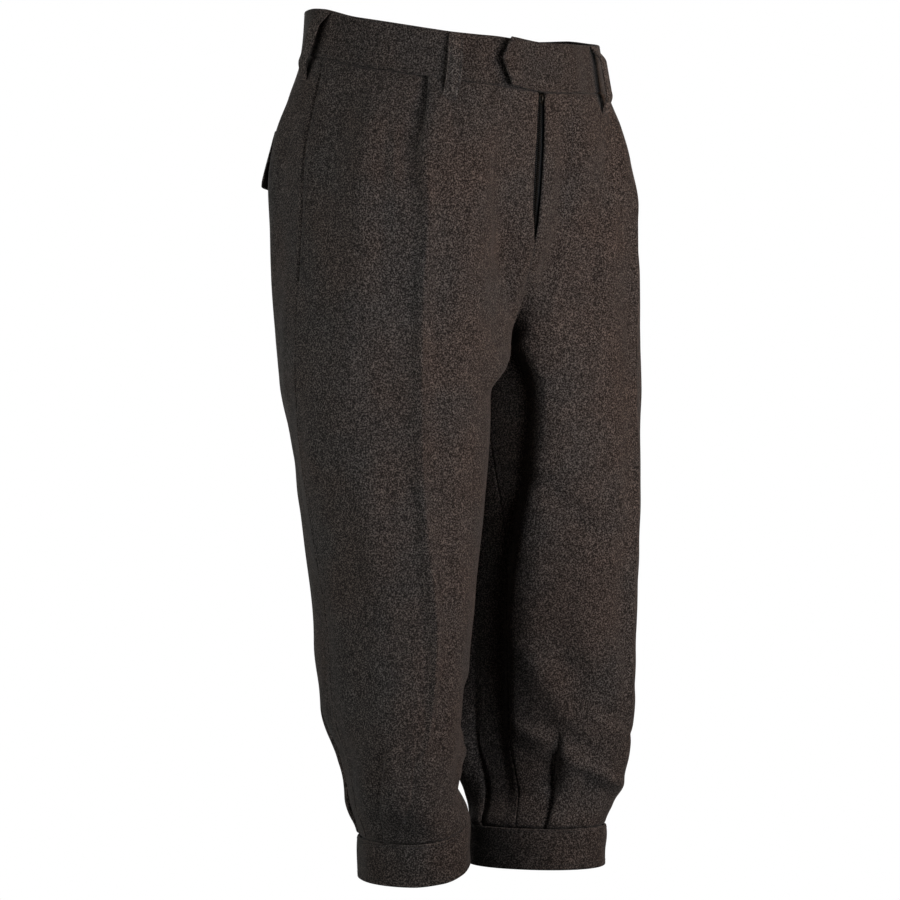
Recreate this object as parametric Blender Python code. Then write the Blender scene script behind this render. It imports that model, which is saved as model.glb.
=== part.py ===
"""Wool knee breeches, standing as they are worn.

Metres, +Z up. The front is -Y and the wearer's left is +X. The origin is the
centre of the waist, at half the height of the waistband at the back.

Each half of the breeches is one ring that runs from the centre front (t = 0)
over the front pleat (t = 0.25), the side seam (t = 0.5) and the back crease
(t = 0.75) to the centre back (t = 1). Below the crotch t = 0 and t = 1 are
the inseam. The right half is the left one mirrored.
"""
import bpy
import numpy as np

# ---- cloth and seams ----
CLOTH = 0.0020            # wall of the panels, loops and flap
BAND_CLOTH = 0.0030       # wall of the waistband and the knee bands
SEAM_GAP = 0.0003         # space left between two pieces at a seam

# ---- heights ----
BAND_HEIGHT = 0.044
WAIST_Z = -BAND_HEIGHT / 2
CROTCH_Z = -0.285
KNEE_Z = -0.734
HEM_Z = -0.772
DIP_FADE_Z = -0.200       # from here down the rows are level

# ---- front opening ----
FLY_BOTTOM_Z = -0.205
FLY_HALF_GAP = 0.0042
TAB_CORNER = 0.041        # reach of the tab past the centre front, at its corners
TAB_POINT = 0.052         # and at its point
UNDERLAP = 0.034

# ---- belt loops ----
LOOP_WIDTH = 0.014
LOOP_BELOW_SEAM = 0.023
LOOP_STAND_OFF = 0.0090

# ---- back pocket flap ----
FLAP_TOP_Z = -0.089
FLAP_HEIGHT = 0.052
FLAP_LIFT = 0.0060

TORSO_COLUMNS = ("z", "half_width", "front_depth", "back_depth", "centre_y", "roundness")
TORSO = np.array([         # roundness is the power of the section, 2 is an ellipse
    (0.022, 0.1500, 0.1200, 0.1175, 0.0055, 1.95),
    (-0.022, 0.1555, 0.1230, 0.1210, 0.0020, 2.00),
    (-0.060, 0.1640, 0.1280, 0.1340, 0.0015, 2.10),
    (-0.100, 0.1720, 0.1320, 0.1470, 0.0025, 2.15),
    (-0.150, 0.1780, 0.1360, 0.1545, -0.0010, 2.15),
    (-0.200, 0.1780, 0.1380, 0.1520, -0.0020, 2.15),
    (-0.285, 0.1790, 0.1380, 0.1465, 0.0005, 2.15),
])
LEG_COLUMNS = ("z", "centre_x", "centre_y", "half_across", "half_front", "half_back",
               "toe", "inseam", "side", "back")
LEG = np.array([
    (-0.100, 0.0800, 0.0150, 0.0960, 0.1240, 0.1425, 17, -89, 87, 163),
    (-0.285, 0.0845, -0.0040, 0.1010, 0.1055, 0.1295, 26, -88, 95, 171),
    (-0.330, 0.0960, -0.0140, 0.0930, 0.0915, 0.1215, 23, -85, 101, 178),
    (-0.390, 0.0940, -0.0155, 0.0860, 0.0925, 0.1085, 24, -80, 108, 186),
    (-0.460, 0.0945, -0.0150, 0.0750, 0.0940, 0.1015, 21, -75, 106, 192),
    (-0.540, 0.0905, -0.0125, 0.0630, 0.0975, 0.0960, 18, -71, 106, 197),
    (-0.620, 0.0890, -0.0100, 0.0560, 0.1000, 0.0935, 20, -68, 105, 200),
    (-0.665, 0.0850, -0.0145, 0.0485, 0.0925, 0.0870, 28, -69, 102, 203),
    (-0.700, 0.0860, -0.0205, 0.0450, 0.0770, 0.0730, 31, -69, 99, 205),
    (-0.734, 0.0760, -0.0255, 0.0480, 0.0655, 0.0625, 29, -66, 96, 206),
    (-0.772, 0.0755, -0.0255, 0.0480, 0.0650, 0.0620, 28, -66, 96, 206),
])
DIP_COLUMNS = ("t", "depth")
WAIST_DIP = np.array([     # the waist lies this much lower than at the centre back
    (0.00, 0.0385),
    (0.10, 0.0355),
    (0.25, 0.0280),
    (0.40, 0.0180),
    (0.50, 0.0115),
    (0.60, 0.0095),
    (0.75, 0.0030),
    (0.90, 0.0),
    (1.00, 0.0),
])
HITCH_COLUMNS = ("t", "waist", "knee")
HITCH = np.array([         # the right half lies this much higher, at its waist and its knee band
    (0.00, 0.0, 0.0160),
    (0.10, 0.0, 0.0140),
    (0.16, -0.0015, 0.0080),
    (0.22, -0.0025, 0.0025),
    (0.30, -0.0020, 0.0),
    (0.40, -0.0010, 0.0),
    (0.50, 0.0030, 0.0),
    (0.58, 0.0050, 0.0),
    (0.70, 0.0030, 0.0),
    (0.80, 0.0010, 0.0),
    (0.90, 0.0, 0.0105),
    (1.00, 0.0, 0.0160),
])
HALF = {"right": False}    # the half that the piece being made belongs to
HOLLOW_COLUMNS = ("z", "depth")
FRONT_HOLLOW = np.array([  # the centre front lies this much further back than the oval
    (0.022, 0.0),
    (-0.022, 0.0060),
    (-0.060, 0.0130),
    (-0.100, 0.0175),
    (-0.150, 0.0240),
    (-0.200, 0.0180),
    (-0.250, 0.0080),
    (-0.285, 0.0),
])
HOLLOW_REACH = 0.20       # in t
RING_T = (0.0, 0.25, 0.5, 0.75, 1.0)
TORSO_AZIMUTH = (0.0, 44.4, 92.2, 136.0, 180.0)
LEG_ROUNDNESS = 2.15

PANEL_ROWS = (-0.040, -0.056, -0.072, -0.090, -0.110, -0.134, -0.160, -0.192, -0.226, -0.254,
              -0.273, -0.282, -0.285, -0.306, -0.345, -0.400, -0.460, -0.520, -0.575,
              -0.620, -0.655, -0.681, -0.703, -0.720)

# ---- pleats: offsets along and out of the cloth, closed and open, in millimetres ----
PLEAT_COLUMNS = ("closed_along", "closed_out", "open_along", "open_out")
WAIST_PLEAT = np.array([
    (-17.0, 0.0, -30.0, 0.0),
    (-11.5, 1.0, -14.0, 0.6),
    (0.0, 1.2, -5.0, 2.8),
    (1.4, -0.2, 0.0, 4.4),
    (0.0, -1.6, 3.6, 2.6),
    (-7.4, -1.6, 7.5, -0.6),
    (-9.4, -3.2, 11.0, -2.0),
    (-7.4, -4.8, 15.0, -2.2),
    (4.0, -4.0, 21.0, -1.2),
    (14.0, 0.0, 30.0, 0.0),
])
KNEE_PLEAT = np.array([
    (-17.0, 0.0, -22.0, 0.0),
    (-9.5, 1.8, -12.0, 1.0),
    (0.0, 2.0, -4.5, 3.0),
    (1.4, 0.6, 0.0, 3.6),
    (0.0, -0.8, 3.0, 2.0),
    (-5.0, -0.8, 5.5, -0.5),
    (-6.8, -2.5, 7.5, -1.4),
    (-3.0, -4.3, 9.5, -1.2),
    (9.5, 0.0, 13.0, 0.0),
])
PLEAT_LENGTH = 0.140      # from the waist seam to where the pleat lies open
KNEE_PLEAT_LENGTH = 0.085
PLEAT_HOLLOW = 0.0030     # how far the folded edge stands off half way down
CREASE_END_Z = (-0.560, -0.680)
CREASE_NARROWS_Z = (-0.450, -0.650)
CREASE_NARROWED = 0.42
PATH_COLUMNS = ("z", "right_inner", "right_outer", "left_inner", "left_outer")
KNEE_PATHS = np.array([    # t of the folded edge of each front knee pleat
    (-0.480, 0.115, 0.430, 0.115, 0.440),
    (-0.600, 0.115, 0.350, 0.130, 0.440),
    (-0.655, 0.115, 0.335, 0.135, 0.440),
    (-0.690, 0.115, 0.345, 0.115, 0.440),
    (-0.734, 0.115, 0.420, 0.093, 0.440),
])

# ---- the largest folds of each half: troughs are negative ----
FOLD_COLUMNS = ("t_top", "z_top", "t_bottom", "z_bottom", "half_width", "height")
FOLDS_RIGHT = (
    (0.355, -0.050, 0.345, -0.230, 0.016, 0.0040),
    (0.405, -0.050, 0.440, -0.170, 0.013, -0.0035),
    (0.140, -0.060, 0.150, -0.200, 0.018, 0.0030),
    (0.300, -0.180, 0.300, -0.560, 0.016, -0.0040),
    (0.300, -0.600, 0.380, -0.700, 0.020, 0.0050),
    (0.150, -0.680, 0.170, -0.730, 0.014, 0.0040),
    (0.620, -0.060, 0.640, -0.260, 0.022, 0.0035),
    (0.860, -0.200, 0.800, -0.330, 0.020, -0.0050),
    (0.900, -0.320, 0.760, -0.480, 0.022, 0.0040),
    (0.700, -0.560, 0.800, -0.690, 0.022, 0.0050),
)
FOLDS_LEFT = (
    (0.100, -0.050, 0.120, -0.280, 0.014, 0.0045),
    (0.055, -0.060, 0.060, -0.160, 0.010, -0.0030),
    (0.175, -0.070, 0.170, -0.260, 0.012, -0.0035),
    (0.300, -0.180, 0.300, -0.500, 0.016, -0.0040),
    (0.060, -0.400, 0.180, -0.470, 0.018, -0.0040),
    (0.050, -0.640, 0.240, -0.700, 0.018, 0.0060),
    (0.380, -0.080, 0.370, -0.240, 0.018, 0.0035),
    (0.620, -0.080, 0.630, -0.240, 0.022, 0.0035),
    (0.870, -0.210, 0.800, -0.340, 0.020, -0.0050),
    (0.720, -0.520, 0.830, -0.660, 0.022, 0.0050),
)


def curve(xs, ys, x):
    """A smooth curve through table points with rising xs, level where the table turns."""
    xs, ys = np.asarray(xs, float), np.asarray(ys, float)
    step = np.diff(xs)
    slope = np.diff(ys) / step
    m = np.zeros(len(xs))
    m[0], m[-1] = slope[0], slope[-1]
    for i in range(1, len(xs) - 1):
        if slope[i - 1] * slope[i] > 0:
            w1, w2 = 2 * step[i] + step[i - 1], step[i] + 2 * step[i - 1]
            m[i] = (w1 + w2) / (w1 / slope[i - 1] + w2 / slope[i])
    x = np.clip(x, xs[0], xs[-1])
    i = np.clip(np.searchsorted(xs, x, side="right") - 1, 0, len(xs) - 2)
    u, h = (x - xs[i]) / step[i], step[i]
    return ((2 * u**3 - 3 * u**2 + 1) * ys[i] + (u**3 - 2 * u**2 + u) * h * m[i]
            + (3 * u**2 - 2 * u**3) * ys[i + 1] + (u**3 - u**2) * h * m[i + 1])


def column(rows, names, name, z):
    return curve(rows[::-1, 0], rows[::-1, names.index(name)], z)


def smooth(x):
    x = np.clip(x, 0.0, 1.0)
    return x * x * (3 - 2 * x)


def torso_section(z, t):
    a, front, back, cy, power = (column(TORSO, TORSO_COLUMNS, n, z) for n in TORSO_COLUMNS[1:])
    az = np.radians(curve(RING_T, TORSO_AZIMUTH, t))
    s, c = np.sin(az), np.cos(az)
    p = 2 / power
    return a * np.abs(s)**p, cy - np.where(c > 0, front, back) * np.sign(c) * np.abs(c)**p


def leg_section(z, t):
    cx, cy, a, front, rear, toe, inseam, side, back = (
        column(LEG, LEG_COLUMNS, n, z) for n in LEG_COLUMNS[1:])
    knots = np.stack([back - 360, inseam, toe, side, back, inseam + 360, toe + 360], -1)
    j = np.clip((t * 4).astype(int), 0, 3)
    u = t * 4 - j
    k0, k1, k2, k3 = (np.take_along_axis(knots, (j + m)[..., None], -1)[..., 0] for m in range(4))
    az = np.radians((2 * u**3 - 3 * u**2 + 1) * k1 + (u**3 - 2 * u**2 + u) * (k2 - k0) / 2
                    + (3 * u**2 - 2 * u**3) * k2 + (u**3 - u**2) * (k3 - k1) / 2)
    q = az - np.radians(toe)
    n = LEG_ROUNDNESS
    b = np.where(np.cos(q) > 0, front, rear)
    r = ((np.abs(np.sin(q)) / a)**n + (np.abs(np.cos(q)) / b)**n)**(-1 / n)
    return cx + r * np.sin(az), cy - r * np.cos(az)


def leg_share(z, t):
    """0 where the section is the trunk's, 1 where it is the leg's."""
    top = -0.060
    back_top = top - 0.040 * smooth((t - 0.5) / 0.2)
    f = np.clip((top - z) / (top - CROTCH_Z), 0.0, 1.0)
    side = smooth((back_top - z) / (back_top - CROTCH_Z))
    fork = 1 - np.sqrt(1 - f**np.where(t < 0.5, 3.0, 2.0))
    near = 1 - smooth(np.minimum(t / 0.18, (1 - t) / 0.30))
    return side * (1 - near) + fork * near


def dip(z, t):
    """How much lower a row lies at t than at the centre back."""
    fade = np.clip((z - DIP_FADE_Z) / (WAIST_Z - DIP_FADE_Z), 0.0, 1.0)
    low = curve(WAIST_DIP[:, 0], WAIST_DIP[:, 1], t) * fade
    if HALF["right"]:
        knee = smooth((-0.640 - z) / 0.080)
        low = low - curve(HITCH[:, 0], HITCH[:, 1], t) * fade - curve(HITCH[:, 0], HITCH[:, 2], t) * knee
    return low


def surface(z, t):
    """The bare form of the left half, at the height a row has at the side."""
    z, t = np.broadcast_arrays(np.asarray(z, float), np.asarray(t, float))
    tx, ty = torso_section(z, t)
    lx, ly = leg_section(z, t)
    w = leg_share(z, t)
    x = (1 - w) * tx + w * lx
    apart = np.where(z < CROTCH_Z + 1e-6, 1.0, smooth(np.minimum(t, 1 - t) / 0.02))
    floor, k = 0.0016 * apart, 0.004 * apart
    x = floor + (x - floor + np.sqrt((x - floor)**2 + k**2)) / 2
    hollow = column(FRONT_HOLLOW, HOLLOW_COLUMNS, "depth", z) * (1 - smooth(t / HOLLOW_REACH))
    y = (1 - w) * ty + w * ly + hollow
    return np.stack([x, y, z - dip(z, t)], -1)


def unit(v):
    return v / np.maximum(np.linalg.norm(v, axis=-1, keepdims=True), 1e-12)


def outward(z, t):
    """Outward normal of the bare form."""
    e, d = 0.004, 0.004
    t0, t1 = np.maximum(t - e, 0.0), np.minimum(t + e, 1.0)
    closed = z < CROTCH_Z - 1e-6
    lo = np.where(closed & (t - e < 0), t - e + 1, t0)
    hi = np.where(closed & (t + e > 1), t + e - 1, t1)
    along = surface(z, hi) - surface(z, lo)
    down = surface(np.maximum(z - d, HEM_Z), t) - surface(z + d, t)
    n = unit(np.cross(down, along))
    seam = (~closed) & (np.minimum(t, 1 - t) < 1e-6)
    n = np.where(seam[..., None], n * np.array([0.0, 1.0, 1.0]), n)
    fork = seam & (z < CROTCH_Z + 1e-6)
    n = np.where(fork[..., None], np.array([-0.6, 0.0, -0.8]), n)
    return unit(n)


def speed(z, t):
    """Metres round the section for one unit of t."""
    e = 0.004
    t0, t1 = np.clip(t - e, 0, 1), np.clip(t + e, 0, 1)
    return np.linalg.norm(surface(z, t1) - surface(z, t0), axis=-1) / (t1 - t0)


def fold_height(z, t, folds):
    total = np.zeros(np.broadcast(z, t).shape)
    pace = speed(np.asarray(z, float), np.clip(t, 0, 1))
    for t_top, z_top, t_bottom, z_bottom, half_width, height in folds:
        f = (z_top - z) / (z_top - z_bottom)
        centre = t_top + (t_bottom - t_top) * np.clip(f, -0.1, 1.1)
        window = smooth((f + 0.18) / 0.36) * smooth((1.18 - f) / 0.36)
        total = total + height * window * np.exp(-((t - centre) * pace / half_width)**2)
    near_seam = smooth(np.minimum(np.abs(t - 0.5), np.minimum(t, 1 - t)) / 0.03)
    return total * near_seam * smooth((WAIST_Z - z) / 0.03) * smooth((z - KNEE_Z) / 0.02)


def pleat_t(path, z):
    """t of a pleat's folded edge at height z: a fixed one, or a column of KNEE_PATHS."""
    return column(KNEE_PATHS, PATH_COLUMNS, path, z) if isinstance(path, str) else path


def pleat_columns(table, t_centre, direction, closing, z):
    """Positions t and offsets of one pleat's columns in the row at height z.

    closing is 1 where the pleat lies shut, 0 where it is open. direction +1
    turns the folded edge towards rising t.
    """
    opening = 1 - closing
    along = smooth(opening / 0.75)
    out = smooth((opening - 0.40) / 0.60)
    width = 1 - (1 - CREASE_NARROWED) * smooth((CREASE_NARROWS_Z[0] - z) / 0.2) * (table is WAIST_PLEAT)
    u = table[:, 0] * (1 - along) + table[:, 2] * along * width
    n = table[:, 1] * (1 - out) + table[:, 3] * out
    pace = speed(np.array(z), np.array(t_centre))
    t = t_centre + direction * u / 1000 / pace
    if direction < 0:
        t, n = t[::-1], n[::-1]
    return t, n / 1000


def spread(t0, t1, count):
    """Columns strictly between t0 and t1."""
    return t0 + (t1 - t0) * np.arange(1, count + 1) / (count + 1)


def panel_grid(t_start, t_end, pleats, plain, folds, rows):
    """Middle surface and wall normals of a panel.

    pleats are (table, t centre, direction, place), in order of t; plain holds
    the count of plain columns before, between and after them.
    """
    grid, edge_normals = [], []
    for z in rows:
        ts, ns = [t_start], [0.0]
        last = t_start
        for (table, centre, direction, place), count in zip(pleats, plain):
            if place == "waist":
                closing = np.clip(1 - (WAIST_Z - z) / PLEAT_LENGTH, 0, 1)
                fade = 1 - smooth((CREASE_END_Z[0] - z) / (CREASE_END_Z[0] - CREASE_END_Z[1]))
                hollow = PLEAT_HOLLOW * np.sin(np.pi * closing)
            else:
                closing = np.clip(1 - (z - KNEE_Z) / KNEE_PLEAT_LENGTH, 0, 1)
                fade = 1 - smooth((z - KNEE_Z - KNEE_PLEAT_LENGTH) / 0.05)
                hollow = 0.6 * PLEAT_HOLLOW * np.sin(np.pi * closing)
            tt, nn = pleat_columns(table, float(pleat_t(centre, z)), direction, closing, z)
            nn = nn * fade
            top = slice(1, 5) if direction > 0 else slice(-5, -1)
            nn[top] += hollow
            ts += list(spread(last, tt[0], count))
            ns += [0.0] * count
            ts += list(tt)
            ns += list(nn)
            last = tt[-1]
        ts += list(spread(last, t_end, plain[-1])) + [t_end]
        ns += [0.0] * (plain[-1] + 1)
        ts, ns = np.array(ts), np.array(ns)
        zz = np.full(len(ts), z)
        folded = fold_height(zz, ts, folds)
        normal = outward(zz, ts)
        level = unit(normal * np.array([1.0, 1.0, 0.0]) + np.array([0.0, 1e-9, 0.0]))
        grid.append(surface(zz, ts) + level * ns[:, None] + normal * folded[:, None])
        edge_normals.append((normal[0], normal[-1]))
    return np.array(grid), edge_normals


def wall(grid, thickness, edge_normals=None, closed=False, level_ends=False):
    """Vertices and faces of a wall with this middle surface. The outer side
    is where down x along points."""
    rows, cols = grid.shape[:2]
    if closed:
        along = np.roll(grid, -1, 1) - np.roll(grid, 1, 1)
    else:
        along = np.gradient(grid, axis=1)
    down = np.gradient(grid, axis=0)
    normal = unit(np.cross(down, along))
    if edge_normals is not None:
        for i, (first, last) in enumerate(edge_normals):
            normal[i, 0], normal[i, -1] = first, last
    if level_ends:
        normal[0, :, 2] = 0.0
        normal[-1, :, 2] = 0.0
        normal = unit(normal)
    outer = grid + normal * thickness / 2
    inner = grid - normal * thickness / 2
    verts = np.concatenate([outer.reshape(-1, 3), inner.reshape(-1, 3)])
    size = rows * cols
    faces = []
    last = cols if closed else cols - 1
    for i in range(rows - 1):
        for j in range(last):
            k = (j + 1) % cols
            a, b, c, d = i * cols + j, (i + 1) * cols + j, (i + 1) * cols + k, i * cols + k
            faces.append((a, b, c, d))
            faces.append((size + d, size + c, size + b, size + a))
    for j in range(last):
        k = (j + 1) % cols
        faces.append((j, k, size + k, size + j))
        a, b = (rows - 1) * cols + j, (rows - 1) * cols + k
        faces.append((b, a, size + a, size + b))
    if not closed:
        for i in range(rows - 1):
            a, b = i * cols, (i + 1) * cols
            faces.append((b, a, size + a, size + b))
            a, b = a + cols - 1, b + cols - 1
            faces.append((a, b, size + b, size + a))
    return verts, faces


def make_material(name, colour, roughness, metallic=0.0):
    mat = bpy.data.materials.new(name)
    mat.use_nodes = True
    shader = mat.node_tree.nodes["Principled BSDF"]
    shader.inputs["Base Color"].default_value = (*colour, 1.0)
    shader.inputs["Roughness"].default_value = roughness
    shader.inputs["Metallic"].default_value = metallic
    mat.diffuse_color = (*colour, 1.0)
    return mat


def add_piece(name, verts, faces, colour, roughness=0.9, metallic=0.0, mirror=False):
    """One solid, its faces in triangles."""
    verts = np.array(verts, float)
    if mirror:
        verts = verts * np.array([-1.0, 1.0, 1.0])
        faces = [tuple(reversed(f)) for f in faces]
    triangles = []
    for f in faces:
        if len(f) == 3:
            triangles.append(f)
            continue
        a, b, c, d = f
        if np.linalg.norm(verts[a] - verts[c]) <= np.linalg.norm(verts[b] - verts[d]):
            triangles += [(a, b, c), (a, c, d)]
        else:
            triangles += [(a, b, d), (b, c, d)]
    mesh = bpy.data.meshes.new(name)
    mesh.from_pydata([tuple(v) for v in verts], [], triangles)
    mesh.update()
    piece = bpy.data.objects.new(name, mesh)
    bpy.context.scene.collection.objects.link(piece)
    mesh.materials.append(make_material(name + "_finish", colour, roughness, metallic))
    return piece


WOOL = (0.052, 0.045, 0.038)
WOOL_DARK = (0.044, 0.038, 0.033)


def fly_gap(z):
    """Half the width of the front opening at height z."""
    f = np.clip((WAIST_Z - z) / (WAIST_Z - FLY_BOTTOM_Z), 0, 1)
    return SEAM_GAP / 2 + FLY_HALF_GAP * (0.75 + 0.25 * np.sin(np.pi * np.clip(f * 2.6, 0, 1))) * (1 - smooth(f))


def settle_edges(grid, rows, front):
    """Leave the seam gaps: at the centre, the side seam and the inseam."""
    for i, z in enumerate(rows):
        centre = 0 if front else -1
        side = -1 if front else 0
        if z > CROTCH_Z + 1e-6:
            grid[i, centre, 0] = fly_gap(z) if front else SEAM_GAP / 2
            if front:
                grid[i, 1, 0] = max(grid[i, 1, 0], fly_gap(z) + 0.002)
        else:
            towards = unit(grid[i, centre + (1 if front else -1)] - grid[i, centre])
            grid[i, centre] += towards * SEAM_GAP / 2
        towards = unit(grid[i, side + (-1 if front else 1)] - grid[i, side])
        grid[i, side] += towards * SEAM_GAP / 2
    return grid


def panel_rows():
    return [WAIST_Z - SEAM_GAP] + list(PANEL_ROWS) + [KNEE_Z + SEAM_GAP]


def panel(name, grid, normals, mirror):
    verts, faces = wall(grid, CLOTH, normals, level_ends=True)
    verts[:, 0] = np.maximum(verts[:, 0], SEAM_GAP / 2)
    return add_piece(name, verts, faces, WOOL, mirror=mirror)


def front_panel(name, folds, mirror):
    HALF["right"] = mirror
    rows = panel_rows()
    side = "right" if mirror else "left"
    pleats = ((KNEE_PLEAT, side + "_inner", -1, "knee"), (WAIST_PLEAT, 0.25, 1, "waist"),
              (KNEE_PLEAT, side + "_outer", 1, "knee"))
    grid, normals = panel_grid(0.0, 0.5, pleats, (2, 2, 2, 0), folds, rows)
    return panel(name, settle_edges(grid, rows, True), normals, mirror)


def back_panel(name, folds, mirror):
    HALF["right"] = mirror
    rows = panel_rows()
    pleats = ((KNEE_PLEAT, 0.625, -1, "knee"), (KNEE_PLEAT, 0.870, 1, "knee"))
    grid, normals = panel_grid(0.5, 1.0, pleats, (2, 5, 2), folds, rows)
    return panel(name, settle_edges(grid, rows, False), normals, mirror)


def ring_point(z, t, out=0.0):
    """A point of the bare form moved out; t may run past the centre front."""
    z, t = np.broadcast_arrays(np.asarray(z, float), np.asarray(t, float))
    flip = np.where(t < 0, -1.0, 1.0)
    t = np.abs(t)
    point = surface(z, t) + outward(z, t) * np.asarray(out, float)[..., None]
    point[..., 0] *= flip
    return point


def waist_t(distance):
    """t at this distance from the centre front along the waist."""
    ts = np.linspace(0, 1, 400)
    ring = surface(np.full(400, WAIST_Z), ts)
    run = np.concatenate([[0], np.cumsum(np.linalg.norm(np.diff(ring, axis=0), axis=1))])
    return np.sign(distance) * np.interp(np.abs(distance), run, ts)


def waistband(name, left):
    """Half of the waistband. The left one ends in the pointed tab, the right
    one in the plain underlap."""
    HALF["right"] = not left
    heights = WAIST_Z + BAND_HEIGHT * np.array([1.0, 0.75, 0.5, 0.25, 0.0])
    grid = []
    for k, z in enumerate(heights):
        middle = 1 - abs(2 * k / (len(heights) - 1) - 1)
        reach = -(TAB_CORNER + (TAB_POINT - TAB_CORNER) * middle) if left else -UNDERLAP
        ends = np.linspace(reach, 0.055, 12)
        t = np.concatenate([waist_t(ends), np.linspace(waist_t(0.055), 1.0, 26)[1:]])
        distance = np.concatenate([ends, np.full(25, 1.0)])
        lap = 1 - smooth((distance - (0.037 if left else 0.0)) / 0.030)
        out = 0.0034 * lap if left else -0.0010 * lap
        if left:
            out = out + 0.0012 * smooth((-distance - 0.02) / 0.03)
        row = ring_point(np.full(len(t), z), t, out)
        row[-1, 0] = SEAM_GAP / 2
        grid.append(row)
    grid = np.array(grid)
    verts, faces = wall(grid, BAND_CLOTH, level_ends=True)
    cols, size = grid.shape[1], grid.shape[0] * grid.shape[1]
    for k in range(len(heights)):
        for base, sign in ((0, 1), (size, -1)):
            verts[base + k * cols + cols - 1] = grid[k, -1] + np.array([0, sign * BAND_CLOTH / 2, 0])
    return add_piece(name, verts, faces, WOOL, mirror=not left)


def knee_band(name, mirror):
    HALF["right"] = mirror
    t = np.arange(64) / 64
    heights = np.linspace(KNEE_Z, HEM_Z, 3)
    swell = np.array([0.0005, 0.0010, 0.0005])
    grid = np.array([ring_point(np.full(64, z), t, np.full(64, s)) for z, s in zip(heights, swell)])
    return add_piece(name, *wall(grid, BAND_CLOTH, closed=True, level_ends=True), WOOL,
                     mirror=mirror)


def belt_loop(name, t_centre, mirror, extra=0.0, lean=0.0):
    """A strip of cloth that lies on the band at both ends and stands off between."""
    HALF["right"] = mirror
    top, bottom = WAIST_Z + BAND_HEIGHT - 0.001, WAIST_Z - LOOP_BELOW_SEAM
    f = np.array([0.0, 0.06, 0.13, 0.22, 0.36, 0.5, 0.64, 0.78, 0.87, 0.94, 1.0])
    z = top + (bottom - top) * f
    on_band = BAND_CLOTH / 2 + CLOTH / 2 + SEAM_GAP
    on_panel = CLOTH + SEAM_GAP + extra
    low = smooth((f - 0.68) / 0.25)
    out = on_band * (1 - low) + on_panel * low
    out = out + (LOOP_STAND_OFF - 0.0013) * smooth((0.5 - np.abs(f - 0.5)) / 0.26)
    across = np.linspace(-LOOP_WIDTH / 2, LOOP_WIDTH / 2, 3)
    grid = []
    for zz, o, at in zip(z, out, t_centre + lean * (f - 0.5)):
        if t_centre >= 1.0:
            centre, normal = surface(zz, 1.0), outward(np.array(zz), np.array(1.0))
            side = np.array([-1.0, 0.0, 0.0])
        else:
            pace = speed(np.array(zz), np.array(at))
            centre = surface(zz, at)
            normal = outward(np.array(zz), np.array(at))
            side = unit(surface(zz, at + 0.005 / pace) - surface(zz, at - 0.005 / pace))
        bulge = centre + normal * (o + 0.0001)
        grid.append([bulge + side * a for a in across])
    return add_piece(name, *wall(np.array(grid), CLOTH), WOOL, mirror=mirror)


def pocket_flap():
    """Hangs on the wearer's right of the seat, its lower edge off the cloth."""
    HALF["right"] = True
    f = np.linspace(0, 1, 7)
    t = np.linspace(0.690, 0.915, 14)
    grid = []
    for k in f:
        z = FLAP_TOP_Z - FLAP_HEIGHT * k
        out = CLOTH + SEAM_GAP + FLAP_LIFT * k**1.6
        zz = np.full(len(t), z)
        lift = out + fold_height(zz, t, FOLDS_RIGHT)
        grid.append(surface(zz, t) + outward(zz, t) * lift[:, None])
    return add_piece("back_pocket_flap", *wall(np.array(grid), CLOTH), WOOL_DARK, mirror=True)


def zip_tape():
    HALF["right"] = False
    z = np.array([WAIST_Z - 0.004, -0.045, -0.070, -0.095, -0.120, -0.145, -0.170, -0.192])
    across = np.array([-0.010, -0.0035, 0.0, 0.0035, 0.010])
    depth = CLOTH / 2 + SEAM_GAP + 0.0020
    grid = []
    for zz in z:
        centre = surface(zz, 0.0)
        normal = outward(np.array(zz), np.array(0.0))
        row = []
        for a in across:
            beside = surface(zz, np.abs(a) / speed(np.array(zz), np.array(0.02)))
            sag = np.array([0.0, beside[1] - centre[1], beside[2] - centre[2]])
            row.append(centre + sag - normal * depth + np.array([a, 0.0, 0.0]))
        grid.append(row)
    return add_piece("zip_tape", *wall(np.array(grid), 0.001), (0.02, 0.018, 0.016), 0.7)


def zip_slider():
    HALF["right"] = False
    z = WAIST_Z - 0.0075
    centre = surface(z, 0.0)
    normal = outward(np.array(z), np.array(0.0))
    down = unit(surface(z - 0.01, 0.0) - surface(z + 0.01, 0.0))
    side = np.array([1.0, 0.0, 0.0])
    middle = centre - normal * 0.0016
    grid = np.array([[middle + down * d + side * w * s for s in (-1, 0, 1)]
                     for d, w in ((-0.0040, 0.0024), (-0.0015, 0.0029), (0.0015, 0.0026), (0.0040, 0.0018))])
    return add_piece("zip_slider", *wall(grid, 0.0016), (0.30, 0.23, 0.12), 0.35, 1.0)


def build():
    for item in list(bpy.data.objects):
        bpy.data.objects.remove(item, do_unlink=True)
    front_panel("front_right", FOLDS_RIGHT, True)
    front_panel("front_left", FOLDS_LEFT, False)
    back_panel("back_right", FOLDS_RIGHT, True)
    back_panel("back_left", FOLDS_LEFT, False)
    waistband("waistband_right", False)
    waistband("waistband_left", True)
    knee_band("knee_band_right", True)
    knee_band("knee_band_left", False)
    belt_loop("belt_loop_front_right", float(waist_t(0.0930)), True, 0.0004)
    belt_loop("belt_loop_front_left", float(waist_t(0.086)), False)
    belt_loop("belt_loop_side_right", 0.525, True, lean=0.07)
    belt_loop("belt_loop_side_left", 0.525, False, lean=0.07)
    belt_loop("belt_loop_back", 1.0, False)
    pocket_flap()
    zip_tape()
    zip_slider()


build()
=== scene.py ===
"""The looks of the wool knee breeches: cloth, stitching, zip, light and camera."""
import math

import bpy
import numpy as np
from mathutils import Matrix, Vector
from mathutils.bvhtree import BVHTree


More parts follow.
